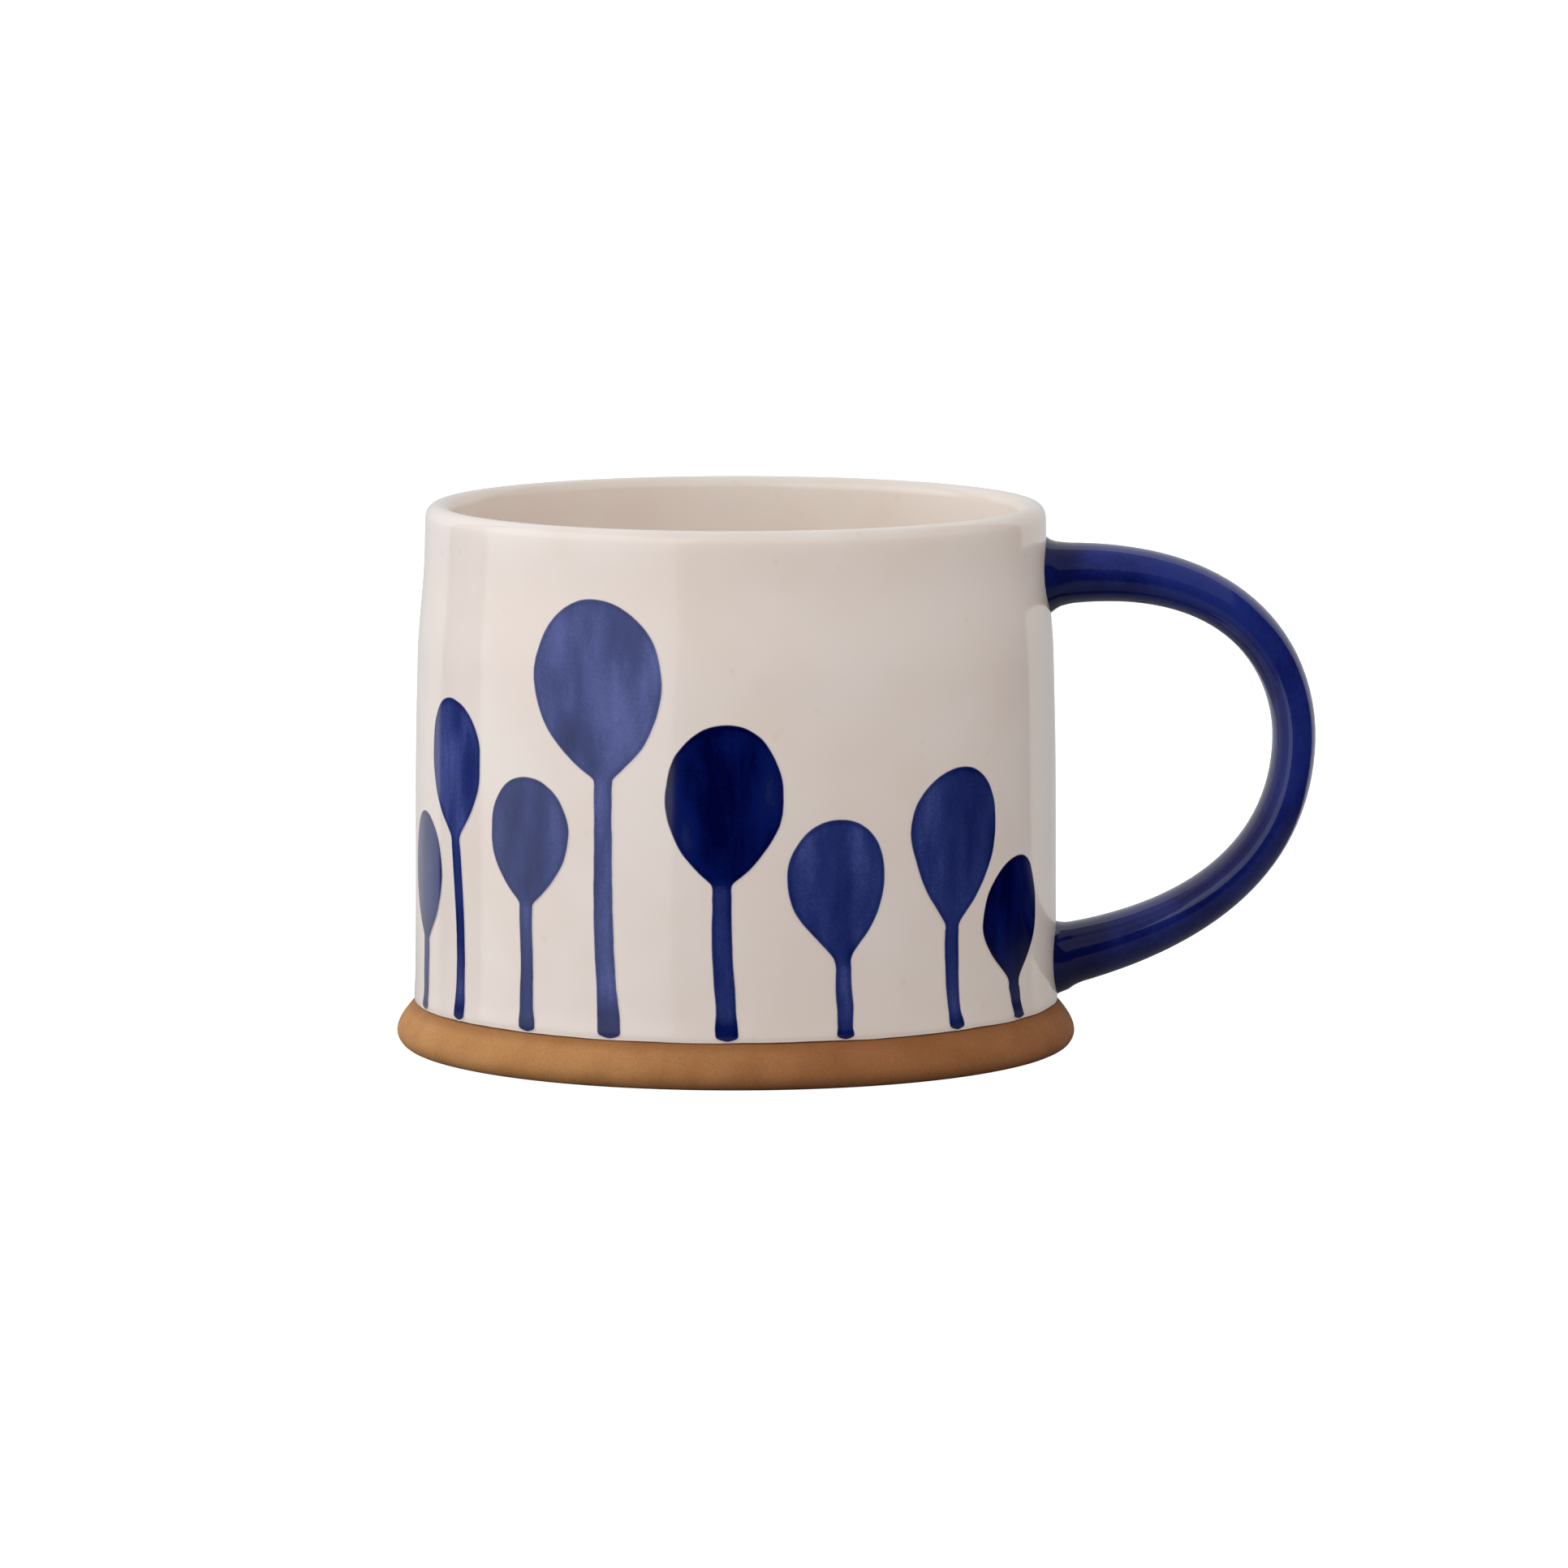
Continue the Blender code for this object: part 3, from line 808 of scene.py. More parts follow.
@dataclass(frozen=True)
class CobaltPaintFinish:
    """Brushed cobalt under a clear gloss: streaked, pooled at the necks and lined at its edge."""

    stops: tuple[tuple[float, Colour], ...] = (
        (0.0, (0.36, 0.36, 0.50)),
        (0.22, (0.075, 0.095, 0.300)),
        (0.45, (0.021, 0.034, 0.160)),
        (0.70, (0.0032, 0.0092, 0.084)),
        (0.83, (0.0012, 0.0068, 0.088)),
        (1.0, (0.0002, 0.0010, 0.036)),
    )
    streak: float = 0.42
    wash: float = 0.44
    grit: float = 0.20
    ragged: float = 0.22
    line: float = 0.09
    roughness: float = 0.10
    dimple: float = 0.05 * MM

    def make(self, effects: Effects, cream: CreamGlazeFinish) -> bpy.types.Material:
        """Build the material.

        Args:
            effects: Shared groups.
            cream: Glaze that shows through at the mark's soft edge.

        Returns:
            The material.
        """
        material, sheet, shader = new_material("brushed_cobalt_paint")
        place = sheet.object_place()
        load = sheet.add("ShaderNodeAttribute", attribute_name="load").outputs["Fac"]
        rim = sheet.add("ShaderNodeAttribute", attribute_name="rim").outputs["Fac"]
        brush = Effects.use(sheet, effects.streaks, Place=place, Across=330.0, Wide=120.0)
        streak = sheet.swing(brush.outputs["Streak"], self.streak)
        wash = sheet.swing(brush.outputs["Wash"], self.wash)
        body = sheet.math("ADD", load, sheet.math("ADD", streak, wash))
        line = sheet.math("MULTIPLY", sheet.ease(rim, 0.15, 0.45), sheet.ease(rim, 0.45, 1.10, 1.0, 0.0))
        body = sheet.math("ADD", body, sheet.math("MULTIPLY", line, self.line))
        grains = Effects.use(sheet, effects.grain, Place=place, Fine=2400.0, Soft=300.0)
        body = sheet.math("ADD", body, sheet.swing(grains.outputs["Fine Grain"], self.grit))
        colour = sheet.ramp(body, self.stops)
        ragged = sheet.math("ADD", rim, sheet.swing(grains.outputs["Soft Mottle"], self.ragged))
        inside = sheet.ease(ragged, 0.02, 0.26)
        bare = cream.colour_nodes(sheet, effects)
        sheet.join(sheet.blend(inside, bare, colour), shader.inputs["Base Color"])
        shader.inputs["Roughness"].default_value = self.roughness
        sheet.emboss(shader, sheet.noise(place, 90.0, 2.0, 0.4), 0.5, self.dimple)
        return material


@dataclass(frozen=True)
class Finishes:
    """Every material of the mug."""

    cream: bpy.types.Material
    clay: bpy.types.Material
    slip: bpy.types.Material
    cobalt: bpy.types.Material
    paint: bpy.types.Material

    @classmethod
    def make(cls) -> "Finishes":
        """Build every finish once."""
        effects = Effects()
        cream = CreamGlazeFinish()
        return cls(
            cream=cream.make(effects),
            clay=BareClayFinish().make(effects),
            slip=SlipFinish().make(effects),
            cobalt=CobaltGlazeFinish().make(effects),
            paint=CobaltPaintFinish().make(effects, cream),
        )


@dataclass
class Foot:
    """Round base of bare clay with its flared edge, its groove and the low neck behind the glaze."""

    form: MugForm
    neck_height: float = 8.5 * MM
    neck_depth: float = 0.35 * MM
    sweep: float = 1.8
    unevenness: float = 0.30 * MM

    def outline(self) -> list[Point]:
        """Profile from the axis under the foot, up its edge and back to the axis over the floor."""
        form = self.form
        radius = form.base_radius + form.foot_flare
        clay = form.glaze + form.gap
        points = [(r * MM, 0.0) for r in (0.0, 4.0, 12.0, 24.0, 36.0, 44.0)]
        for angle in spread(-math.pi / 2.0, 0.0, 9):
            inward = form.foot_edge_width * (1.0 - math.cos(angle))
            points.append((radius - inward, form.foot_edge_height * (1.0 + math.sin(angle))))
        rise = form.foot_height - form.foot_edge_height
        for share in spread(0.0, 1.0, 14)[1:]:
            points.append((radius - form.foot_flare * share**self.sweep, form.foot_edge_height + rise * share))
        points.append((form.base_radius - 0.12 * MM, form.foot_height + 0.14 * MM))
        points.append((form.base_radius - self.neck_depth, form.foot_height + 0.24 * MM))
        points.append((form.wall_radius(self.neck_height) - self.neck_depth, self.neck_height))
        groove_out = form.base_radius - clay + form.gap
        groove_in = form.cavity_radius(form.foot_height) + clay - form.gap
        low = form.foot_height - form.groove_depth
        points += [(groove_out, self.neck_height), (groove_out, low)]
        points += [(groove_in, low), (groove_in, form.floor)]
        points += [(r * MM, form.floor) for r in (30.0, 16.0, 5.0, 0.0)]
        return points

    def build(self, finishes: Finishes) -> bpy.types.Object:
        """Turn and dress the foot."""
        piece = Wheel.turn("foot_clay", self.outline(), self.form.steps)
        Wheel.wander(piece, self._slack, self.unevenness, 11.0 * MM, Drift.OUTWARD)
        Bench.smooth(piece, 32.0)
        Bench.finish(piece, "clay", finishes.clay, "foot")
        return piece

    def _slack(self, at: Vector) -> float:
        """Share of the hand-made unevenness at a place on the foot's edge."""
        outer = smooth_step((math.hypot(at.x, at.y) - 46.9 * MM) / (0.9 * MM))
        below = 1.0 - smooth_step((at.z - self.form.foot_height + 1.5 * MM) / (1.4 * MM))
        return outer * smooth_step(at.z / (1.2 * MM)) * below


@dataclass
class CreamCoat:
    """Cream glaze in one coat: up the outside, over the lip, down the inside and across the floor."""

    form: MugForm
    thin_to: float = 8.4 * MM
    full_from: float = 9.0 * MM
    run: float = 0.34 * MM

    def inside(self, depth: float, rows: int, corner_rows: int) -> list[Point]:
        """Profile of the inside at a depth below the glaze, from under the lip to the axis."""
        form = self.form
        lip = form.lip / 2.0
        floor = form.floor + form.gap + form.glaze
        centre_height = floor + form.corner
        centre = (form.cavity_radius(centre_height) - form.corner, centre_height)
        wall = [(form.cavity_radius(z) + depth, z) for z in spread(form.height - lip, centre_height, rows)]
        turn = arc(centre, form.corner + depth, 0.0, -90.0, corner_rows)[1:]
        level = [(r * MM, floor - depth) for r in (30.0, 20.0, 10.0, 3.5, 0.0)]
        return wall + turn + level

    def outline(self) -> list[Point]:
        """Profile of the coat from the axis under it, round its lower edge and the lip, to the axis again."""
        form = self.form
        lip = form.lip / 2.0
        crest = form.height - lip
        edge = form.edge
        bead = [edge + d * MM for d in (0.22, 0.36, 0.55, 0.80, 1.1, 1.5, 2.0, 2.6, 3.2)]
        outer = [(form.base_radius - 0.30 * MM, edge + 0.16 * MM)]
        outer += [(form.base_radius - 0.22 * MM, edge + 0.04 * MM)]
        outer += [(form.base_radius - 0.08 * MM, edge)]
        outer += [(form.skin_radius(edge) + 0.02 * MM, edge + 0.08 * MM)]
        outer += [(form.skin_radius(z), z) for z in bead]
        outer += [(form.skin_radius(z), z) for z in spread(bead[-1], crest, 64)[1:]]
        over = arc((form.rim_radius - lip, crest), lip, 0.0, 180.0, 17)[1:-1]
        inner = self.inside(0.0, 36, 10)
        back = self.inside(form.glaze, 14, 6)[::-1]
        back_over = arc((form.rim_radius - lip, crest), lip - form.glaze, 180.0, 0.0, 9)[1:-1]
        back_outer = [(form.wall_radius(z) - form.glaze, z) for z in spread(crest, self.full_from, 62)]
        thin = [(form.base_radius - 0.30 * MM, self.thin_to)]
        return back + back_over + back_outer + thin + outer + over + inner

    def build(self, finishes: Finishes) -> bpy.types.Object:
        """Turn the coat, let its lower edge wander and dress it."""
        piece = Wheel.turn("cream_glaze", self.outline(), self.form.steps)
        Wheel.wander(piece, self._slack, self.run, 8.0 * MM, Drift.UPWARD)
        Bench.smooth(piece, 50.0)
        Bench.finish(piece, "cream_glaze", finishes.cream, "outer_glaze", "inner_glaze")
        return piece

    def _slack(self, at: Vector) -> float:
        """Share of the uneven run at a place on the coat's lower edge."""
        above = at.z - self.form.edge
        if above >= 2.0 * MM or math.hypot(at.x, at.y) <= 46.0 * MM:
            return 0.0
        return 1.0 - smooth_step((above - 0.3 * MM) / (1.5 * MM))


@dataclass
class HandleCoat:
    """Cobalt glaze round the pulled handle, with a small fillet where each end meets the wall.

    The pulls place the Bezier handles as shares of the reach and of the height between the roots.
    """

    form: MugForm
    drop: float = 10.6 * MM
    rise: float = 6.45 * MM
    reach: float = 35.1 * MM
    end_thickness: float = 9.3 * MM
    middle_thickness: float = 6.4 * MM
    end_width: float = 13.6 * MM
    middle_width: float = 11.6 * MM
    root_flare: float = 1.05 * MM
    root_length: float = 4.2 * MM
    apex_at: float = 0.58
    apex_pull: float = 0.17
    upper_pull: Point = (0.82, 0.05)
    lower_pull: Point = (0.88, 0.11)
    crowding: float = 0.055
    seat: float = 0.04 * MM
    stations: int = 84
    sides: int = 40

    def curves(self) -> tuple[tuple[Point, ...], tuple[Point, ...]]:
        """Two Bezier curves of the centre line, upper and lower, in the handle's plane."""
        form = self.form
        top_height, low_height = form.height - self.drop, form.foot_height + self.rise
        span = top_height - low_height
        apex_height = low_height + self.apex_at * span
        top = (form.wall_radius(top_height), top_height)
        low = (form.wall_radius(low_height), low_height)
        apex = (form.wall_radius(apex_height) + self.reach, apex_height)
        upper = (
            top,
            (top[0] + self.upper_pull[0] * (apex[0] - top[0]), top_height + self.upper_pull[1] * span),
            (apex[0], apex_height + self.apex_pull * span),
            apex,
        )
        lower = (
            apex,
            (apex[0], apex_height - self.apex_pull * span),
            (low[0] + self.lower_pull[0] * (apex[0] - low[0]), low_height + self.lower_pull[1] * span),
            low,
        )
        return upper, lower

    def centre_line(self) -> tuple[list[Point], list[float]]:
        """Fine points of the centre line and the length travelled at each."""
        path: list[Point] = []
        for curve in self.curves():
            for i in range(241):
                t = i / 240
                weights = ((1 - t) ** 3, 3 * t * (1 - t) ** 2, 3 * t * t * (1 - t), t**3)
                out = sum(w * p[0] for w, p in zip(weights, curve, strict=True))
                height = sum(w * p[1] for w, p in zip(weights, curve, strict=True))
                point = (out, height)
                if not path or math.dist(path[-1], point) > 1e-9:
                    path.append(point)
        travelled = [0.0]
        for before, after in zip(path, path[1:], strict=False):
            travelled.append(travelled[-1] + math.dist(before, after))
        return path, travelled

    def half_sizes(self, share: float, length: float) -> tuple[float, float]:
        """Half thickness and half width of the section.

        Args:
            share: Share of the handle's length.
            length: Length of the centre line.

        Returns:
            Half thickness in the handle's plane and half width across it.
        """
        middle = 4.0 * share * (1.0 - share)
        thickness = self.end_thickness + (self.middle_thickness - self.end_thickness) * middle
        width = self.end_width + (self.middle_width - self.end_width) * middle
        near = max(1.0 - min(share, 1.0 - share) * length / self.root_length, 0.0)
        flare = self.root_flare * near**3
        return thickness / 2.0 + flare, width / 2.0 + flare

    def lay_rings(self) -> bpy.types.Object:
        """Lay one oval ring for each station along the centre line."""
        path, travelled = self.centre_line()
        length = travelled[-1]
        Bench.clear()
        bpy.ops.mesh.primitive_circle_add(vertices=self.sides, radius=MM, location=ORIGIN)
        piece = bpy.context.object
        piece.name = piece.data.name = "cobalt_handle_glaze"
        Bench.open(piece)
        bpy.ops.mesh.select_all(action="SELECT")
        bpy.ops.mesh.delete(type="VERT")
        for i in range(self.stations):
            even = i / (self.stations - 1)
            share = even - self.crowding * math.sin(math.tau * even)
            wanted = share * length
            k = min(range(len(path)), key=lambda n: abs(travelled[n] - wanted))
            before, after = path[max(k - 1, 0)], path[min(k + 1, len(path) - 1)]
            slope = math.atan2(after[1] - before[1], after[0] - before[0])
            half_thickness, half_width = self.half_sizes(share, length)
            bpy.ops.mesh.primitive_circle_add(vertices=self.sides, radius=half_width, location=ORIGIN)
            bpy.ops.transform.resize(value=(half_thickness / half_width, 1.0, 1.0), center_override=ORIGIN)
            bpy.ops.transform.rotate(value=slope - math.pi / 2.0, orient_axis="Y", center_override=ORIGIN)
            bpy.ops.transform.translate(value=(path[k][0], 0.0, path[k][1]))
        Bench.close()
        return piece

    def build(self, finishes: Finishes) -> bpy.types.Object:
        """Join the rings, seat both ends on the wall, give the coat its thickness and dress it."""
        piece = self.lay_rings()
        for i in range(self.stations - 1):
            low, high = i * self.sides, (i + 2) * self.sides
            Bench.open(piece)
            bpy.ops.mesh.select_all(action="DESELECT")
            Bench.close()
            for vertex in piece.data.vertices[low:high]:
                vertex.select = True
            bpy.ops.object.mode_set(mode="EDIT")
            bpy.ops.mesh.bridge_edge_loops()
            Bench.close()
        points = piece.data.vertices
        for vertex in (*points[: self.sides], *points[-self.sides :]):
            vertex.co = self.form.onto_wall(vertex.co, -self.seat)
        Bench.outward(piece)
        wall = piece.modifiers.new("coat", "SOLIDIFY")
        wall.thickness = self.form.glaze
        wall.offset = -1.0
        wall.use_even_offset = True
        Bench.apply(piece)
        Bench.smooth(piece, 50.0)
        Bench.finish(piece, "cobalt_glaze", finishes.cobalt, "handle_glaze")
        return piece


@dataclass(frozen=True)
class Pool:
    """Paint that gathered in one place of a flower's head, or was drawn thin there."""

    down: float
    across: float
    tall: float
    wide: float
    amount: float

    def weight(self, down: float, across: float) -> float:
        """Paint that the pool adds at a place, from the head's top and from its middle line."""
        below = ((down - self.down) / self.tall) ** 2
        aside = ((across - self.across) / self.wide) ** 2
        return self.amount * math.exp(-below - aside)


@dataclass(frozen=True)
class Balloon:
    """One painted flower: a balloon-shaped head and a stem that ends at the glaze's edge.

    Angles are in degrees round the wall. The top, the neck, the middle of the stem and its end each
    have a shift from the head's bearing.
    """

    bearing: float
    head_width: float
    top: float
    neck: float
    stem_width: float
    shifts: tuple[float, float, float, float]
    tone: float
    stem_tone: float
    widest: float = 0.42
    fullness: float = 2.2
    taper: float = 0.85
    pools: tuple[Pool, ...] = ()


@dataclass
class FlowerBand:
    """The painted flowers round the wall, each a film of its own."""

    form: MugForm
    proud: float = 0.05 * MM
    film: float = 0.035 * MM
    soft: float = 0.13 * MM
    columns: int = 24
    rows: int = 96
    head_part: float = 0.60
    ripple: float = 0.010
    stem_bend: float = 0.11
    stem_swell: float = 0.05
    stem_end: float = 0.16
    flowers: tuple[Balloon, ...] = field(
        default=(
            Balloon(
                bearing=-72.6, head_width=16.2, top=0.403, neck=0.144, stem_width=2.6 * MM,
                shifts=(-0.6, 0.1, 0.1, -0.2), tone=0.57, stem_tone=0.53,
                widest=0.46, fullness=2.0, taper=0.85,
                pools=(Pool(0.95, 0.0, 0.22, 0.6, 0.14),),
            ),
            Balloon(
                bearing=-59.95, head_width=17.4, top=0.643, neck=0.356, stem_width=2.45 * MM,
                shifts=(-1.5, 0.8, 2.5, 2.2), tone=0.43, stem_tone=0.46,
                widest=0.37, fullness=2.55, taper=1.10,
                pools=(
                    Pool(0.45, 0.62, 0.30, 0.30, 0.16), Pool(0.50, -0.35, 0.30, 0.35, -0.10),
                ),
            ),
            Balloon(
                bearing=-39.2, head_width=17.7, top=0.508, neck=0.249, stem_width=2.5 * MM,
                shifts=(-0.2, -0.3, -0.2, 0.1), tone=0.51, stem_tone=0.46,
                widest=0.41, fullness=2.23, taper=0.92,
                pools=(
                    Pool(0.28, -0.30, 0.20, 0.35, 0.12), Pool(0.50, 0.70, 0.25, 0.30, -0.10),
                    Pool(0.50, -0.85, 0.30, 0.25, -0.09), Pool(0.86, 0.0, 0.16, 0.25, 0.10),
                ),
            ),
            Balloon(
                bearing=-25.3, head_width=25.3, top=0.865, neck=0.506, stem_width=3.0 * MM,
                shifts=(-0.9, 1.8, 1.9, 3.1), tone=0.37, stem_tone=0.38,
                widest=0.45, fullness=2.0, taper=0.80,
                pools=(
                    Pool(0.76, -0.42, 0.13, 0.28, 0.26), Pool(0.90, -0.12, 0.10, 0.12, 0.16),
                    Pool(0.86, 0.22, 0.12, 0.14, -0.06), Pool(0.50, 0.00, 0.26, 0.22, -0.07),
                    Pool(0.10, 0.0, 0.12, 0.8, 0.05),
                ),
            ),
            Balloon(
                bearing=-1.8, head_width=20.95, top=0.627, neck=0.306, stem_width=2.9 * MM,
                shifts=(0.5, -0.4, -0.1, 0.6), tone=0.92, stem_tone=0.56,
                widest=0.45, fullness=1.92, taper=0.74,
                pools=(
                    Pool(0.42, 0.72, 0.22, 0.20, -0.22), Pool(0.12, 0.10, 0.12, 0.30, -0.10),
                    Pool(0.66, -0.62, 0.16, 0.16, -0.22), Pool(0.45, -0.15, 0.40, 0.35, 0.12),
                ),
            ),
            Balloon(
                bearing=18.15, head_width=17.8, top=0.438, neck=0.141, stem_width=2.45 * MM,
                shifts=(0.6, 1.2, 1.3, 1.6), tone=0.43, stem_tone=0.42,
                widest=0.36, fullness=2.64, taper=1.55,
                pools=(
                    Pool(0.55, -0.60, 0.35, 0.35, -0.06), Pool(0.62, 0.20, 0.30, 0.22, 0.10),
                    Pool(0.92, 0.15, 0.14, 0.22, 0.14),
                ),
            ),
            Balloon(
                bearing=42.8, head_width=20.7, top=0.524, neck=0.205, stem_width=2.6 * MM,
                shifts=(1.2, -1.3, -1.3, -0.1), tone=0.50, stem_tone=0.48,
                widest=0.38, fullness=1.81, taper=0.88,
                pools=(
                    Pool(0.40, -0.55, 0.35, 0.40, -0.08), Pool(0.30, 0.45, 0.28, 0.35, 0.12),
                ),
            ),
            Balloon(
                bearing=58.5, head_width=18.4, top=0.331, neck=0.070, stem_width=2.9 * MM,
                shifts=(2.3, 0.3, 1.2, 2.1), tone=0.96, stem_tone=0.86,
                widest=0.48, fullness=2.1, taper=1.25,
                pools=(
                    Pool(0.45, 0.70, 0.40, 0.30, 0.06), Pool(0.62, -0.40, 0.30, 0.35, -0.05),
                ),
            ),
            Balloon(
                bearing=112.0, head_width=17.0, top=0.400, neck=0.150, stem_width=2.7 * MM,
                shifts=(0.6, -0.4, -0.4, -1.0), tone=0.50, stem_tone=0.52,
                pools=(
                    Pool(0.40, 0.50, 0.30, 0.35, 0.10), Pool(0.55, -0.50, 0.30, 0.35, -0.08),
                ),
            ),
            Balloon(
                bearing=131.5, head_width=20.0, top=0.650, neck=0.340, stem_width=2.9 * MM,
                shifts=(-0.6, 0.6, 0.7, 1.5), tone=0.40, stem_tone=0.42,
                pools=(
                    Pool(0.76, 0.35, 0.12, 0.25, 0.16), Pool(0.40, -0.20, 0.30, 0.30, -0.07),
                ),
            ),
            Balloon(
                bearing=151.5, head_width=17.0, top=0.455, neck=0.200, stem_width=2.7 * MM,
                shifts=(0.4, -0.2, -0.4, -0.5), tone=0.56, stem_tone=0.54,
                pools=(
                    Pool(0.35, -0.40, 0.25, 0.35, 0.10), Pool(0.60, 0.60, 0.25, 0.30, -0.09),
                ),
            ),
            Balloon(
                bearing=173.5, head_width=24.0, top=0.830, neck=0.470, stem_width=3.1 * MM,
                shifts=(-0.8, 0.9, 1.0, 1.8), tone=0.38, stem_tone=0.42,
                taper=0.80,
                pools=(
                    Pool(0.78, -0.35, 0.12, 0.24, 0.18), Pool(0.45, 0.25, 0.28, 0.25, -0.06),
                ),
            ),
            Balloon(
                bearing=196.0, head_width=17.5, top=0.500, neck=0.235, stem_width=2.8 * MM,
                shifts=(0.5, 0.2, 0.2, 0.6), tone=0.76, stem_tone=0.62,
                pools=(
                    Pool(0.45, 0.65, 0.24, 0.24, -0.16), Pool(0.45, -0.10, 0.35, 0.35, 0.10),
                ),
            ),
            Balloon(
                bearing=216.5, head_width=19.0, top=0.620, neck=0.310, stem_width=3.0 * MM,
                shifts=(-1.0, -0.5, -0.4, -1.4), tone=0.46, stem_tone=0.48,
                pools=(
                    Pool(0.30, -0.30, 0.22, 0.35, 0.12), Pool(0.88, 0.0, 0.14, 0.24, 0.10),
                ),
            ),
            Balloon(
                bearing=236.0, head_width=16.0, top=0.380, neck=0.140, stem_width=2.7 * MM,
                shifts=(0.8, 0.3, 0.6, 1.0), tone=0.42, stem_tone=0.46,
                taper=1.0,
                pools=(
                    Pool(0.50, 0.60, 0.28, 0.30, 0.12), Pool(0.50, -0.50, 0.30, 0.35, -0.08),
                ),
            ),
            Balloon(
                bearing=258.5, head_width=21.0, top=0.735, neck=0.400, stem_width=3.0 * MM,
                shifts=(-1.2, 0.7, 1.0, 1.6), tone=0.52, stem_tone=0.50,
                pools=(
                    Pool(0.35, 0.40, 0.28, 0.35, 0.10), Pool(0.65, -0.55, 0.22, 0.28, -0.09),
                ),
            ),
        )
    )

    def heights(self, flower: Balloon) -> tuple[float, float, float]:
        """Heights of a flower's top, of its neck and of its stem's end."""
        low = self.form.foot_height + self.form.gap
        glazed = self.form.height - low
        return low + flower.top * glazed, low + flower.neck * glazed, self.form.edge + 0.04 * MM

    def middle_line(self, flower: Balloon, number: int, height: float) -> float:
        """Bearing in radians of a flower's middle line at a height.

        Args:
            flower: The flower.
            number: Its number, which sets how its stem wavers.
            height: Height above the table.

        Returns:
            The bearing.
        """
        top, neck, end = self.heights(flower)
        at_top, at_neck, at_middle, at_end = flower.shifts
        down = (top - height) / (top - neck)
        if down < flower.widest:
            shift = at_top * (1.0 - down / flower.widest) ** 2
        elif down < 1.0:
            shift = at_neck * ((down - flower.widest) / (1.0 - flower.widest)) ** 2
        else:
            t = (neck - height) / (neck - end)
            shift = at_neck * (1.0 - t) * (1.0 - 2.0 * t)
            shift += 4.0 * at_middle * t * (1.0 - t) + at_end * t * (2.0 * t - 1.0)
            shift += self.stem_bend * math.sin(7.0 * t + 1.7 * number) * math.sin(math.pi * t)
        return math.radians(flower.bearing + shift)

    def outline_row(self, flower: Balloon, number: int, along: float) -> tuple[float, float, float]:
        """Shape of one row across a flower.

        Args:
            flower: The flower.
            number: Its number, which sets how its edge wobbles.
            along: Share of the way from the top of the head to the end of the stem.

        Returns:
            Bearing of the row's middle, its half width in radians and its height.
        """
        top, neck, end = self.heights(flower)
        radius = self.form.wall_radius(neck)
        head_half = math.radians(flower.head_width) / 2.0
        stem_half = flower.stem_width / radius / 2.0
        if along < self.head_part:
            share = (1.0 - math.cos(math.pi * along / self.head_part)) / 2.0
            height = top + (neck - top) * share
            if share < flower.widest:
                wide = math.sqrt(max(1.0 - ((flower.widest - share) / flower.widest) ** 2, 0.0))
            else:
                down = (share - flower.widest) / (1.0 - flower.widest)
                wide = max(1.0 - down**flower.fullness, 0.0) ** flower.taper
            half = head_half * wide
            if share > flower.widest:
                half = (half**3 + stem_half**3) ** (1.0 / 3.0)
        else:
            share = 1.0 - (1.0 - (along - self.head_part) / (1.0 - self.head_part)) ** 1.4
            height = neck + (end - neck) * share
            blob = smooth_step((share - 0.80) / 0.12) * self.stem_end
            half = stem_half * (1.0 + self.stem_swell * math.sin(5.0 * share + number) + blob)
            tip = (height - end) / (0.9 * MM)
            if tip < 1.0:
                half *= max(1.0 - (1.0 - tip) ** 3, 0.02)
        return self.middle_line(flower, number, height), half + self.soft / radius, height

    def lay(self, flower: Balloon, number: int) -> bpy.types.Object:
        """Lay a grid on the wall in a flower's shape and note how much paint it carries.

        Args:
            flower: The flower.
            number: Its number.

        Returns:
            The film's outer face as an open sheet.
        """
        Bench.clear()
        bpy.ops.mesh.primitive_grid_add(
            x_subdivisions=self.columns, y_subdivisions=self.rows, size=2.0, location=ORIGIN
        )
        piece = bpy.context.object
        piece.name = piece.data.name = f"painted_flower_{number:02d}"
        mesh = piece.data
        top, neck, end = self.heights(flower)
        head_half = math.radians(flower.head_width) / 2.0
        radius = self.form.base_radius
        phase = 2.4 * number
        flat: list[Point] = []
        loads: list[float] = []
        sides: dict[int, list[tuple[float, float, float]]] = {-1: [], 1: []}
        for vertex in mesh.vertices:
            along = (1.0 - vertex.co.y) / 2.0
            across = math.sin(math.pi / 2.0 * max(min(vertex.co.x, 1.0), -1.0))
            bearing, half, height = self.outline_row(flower, number, along)
            waves = math.sin(23.0 * along + phase + across)
            waves += 0.6 * math.sin(51.0 * along - phase + 2.0 * across)
            angle = bearing + half * across * (1.0 + self.ripple * waves)
            vertex.co = self.form.place(angle, height, self.proud)
            flat.append((angle * radius, height))
            down = (top - height) / (top - neck)
            along_stem = (neck - height) / (neck - end)
            loads.append(self.paint_load(flower, down, (angle - bearing) / head_half, along_stem))
            if abs(across) > 0.9999:
                sides[1 if across > 0.0 else -1].append((along, angle * radius, height))
        round_it = sorted(sides[-1]) + sorted(sides[1], reverse=True)
        edge = [(place, height) for _, place, height in round_it]
        self.note_paint(mesh, np.array(flat), np.array(loads), np.array(edge))
        return piece

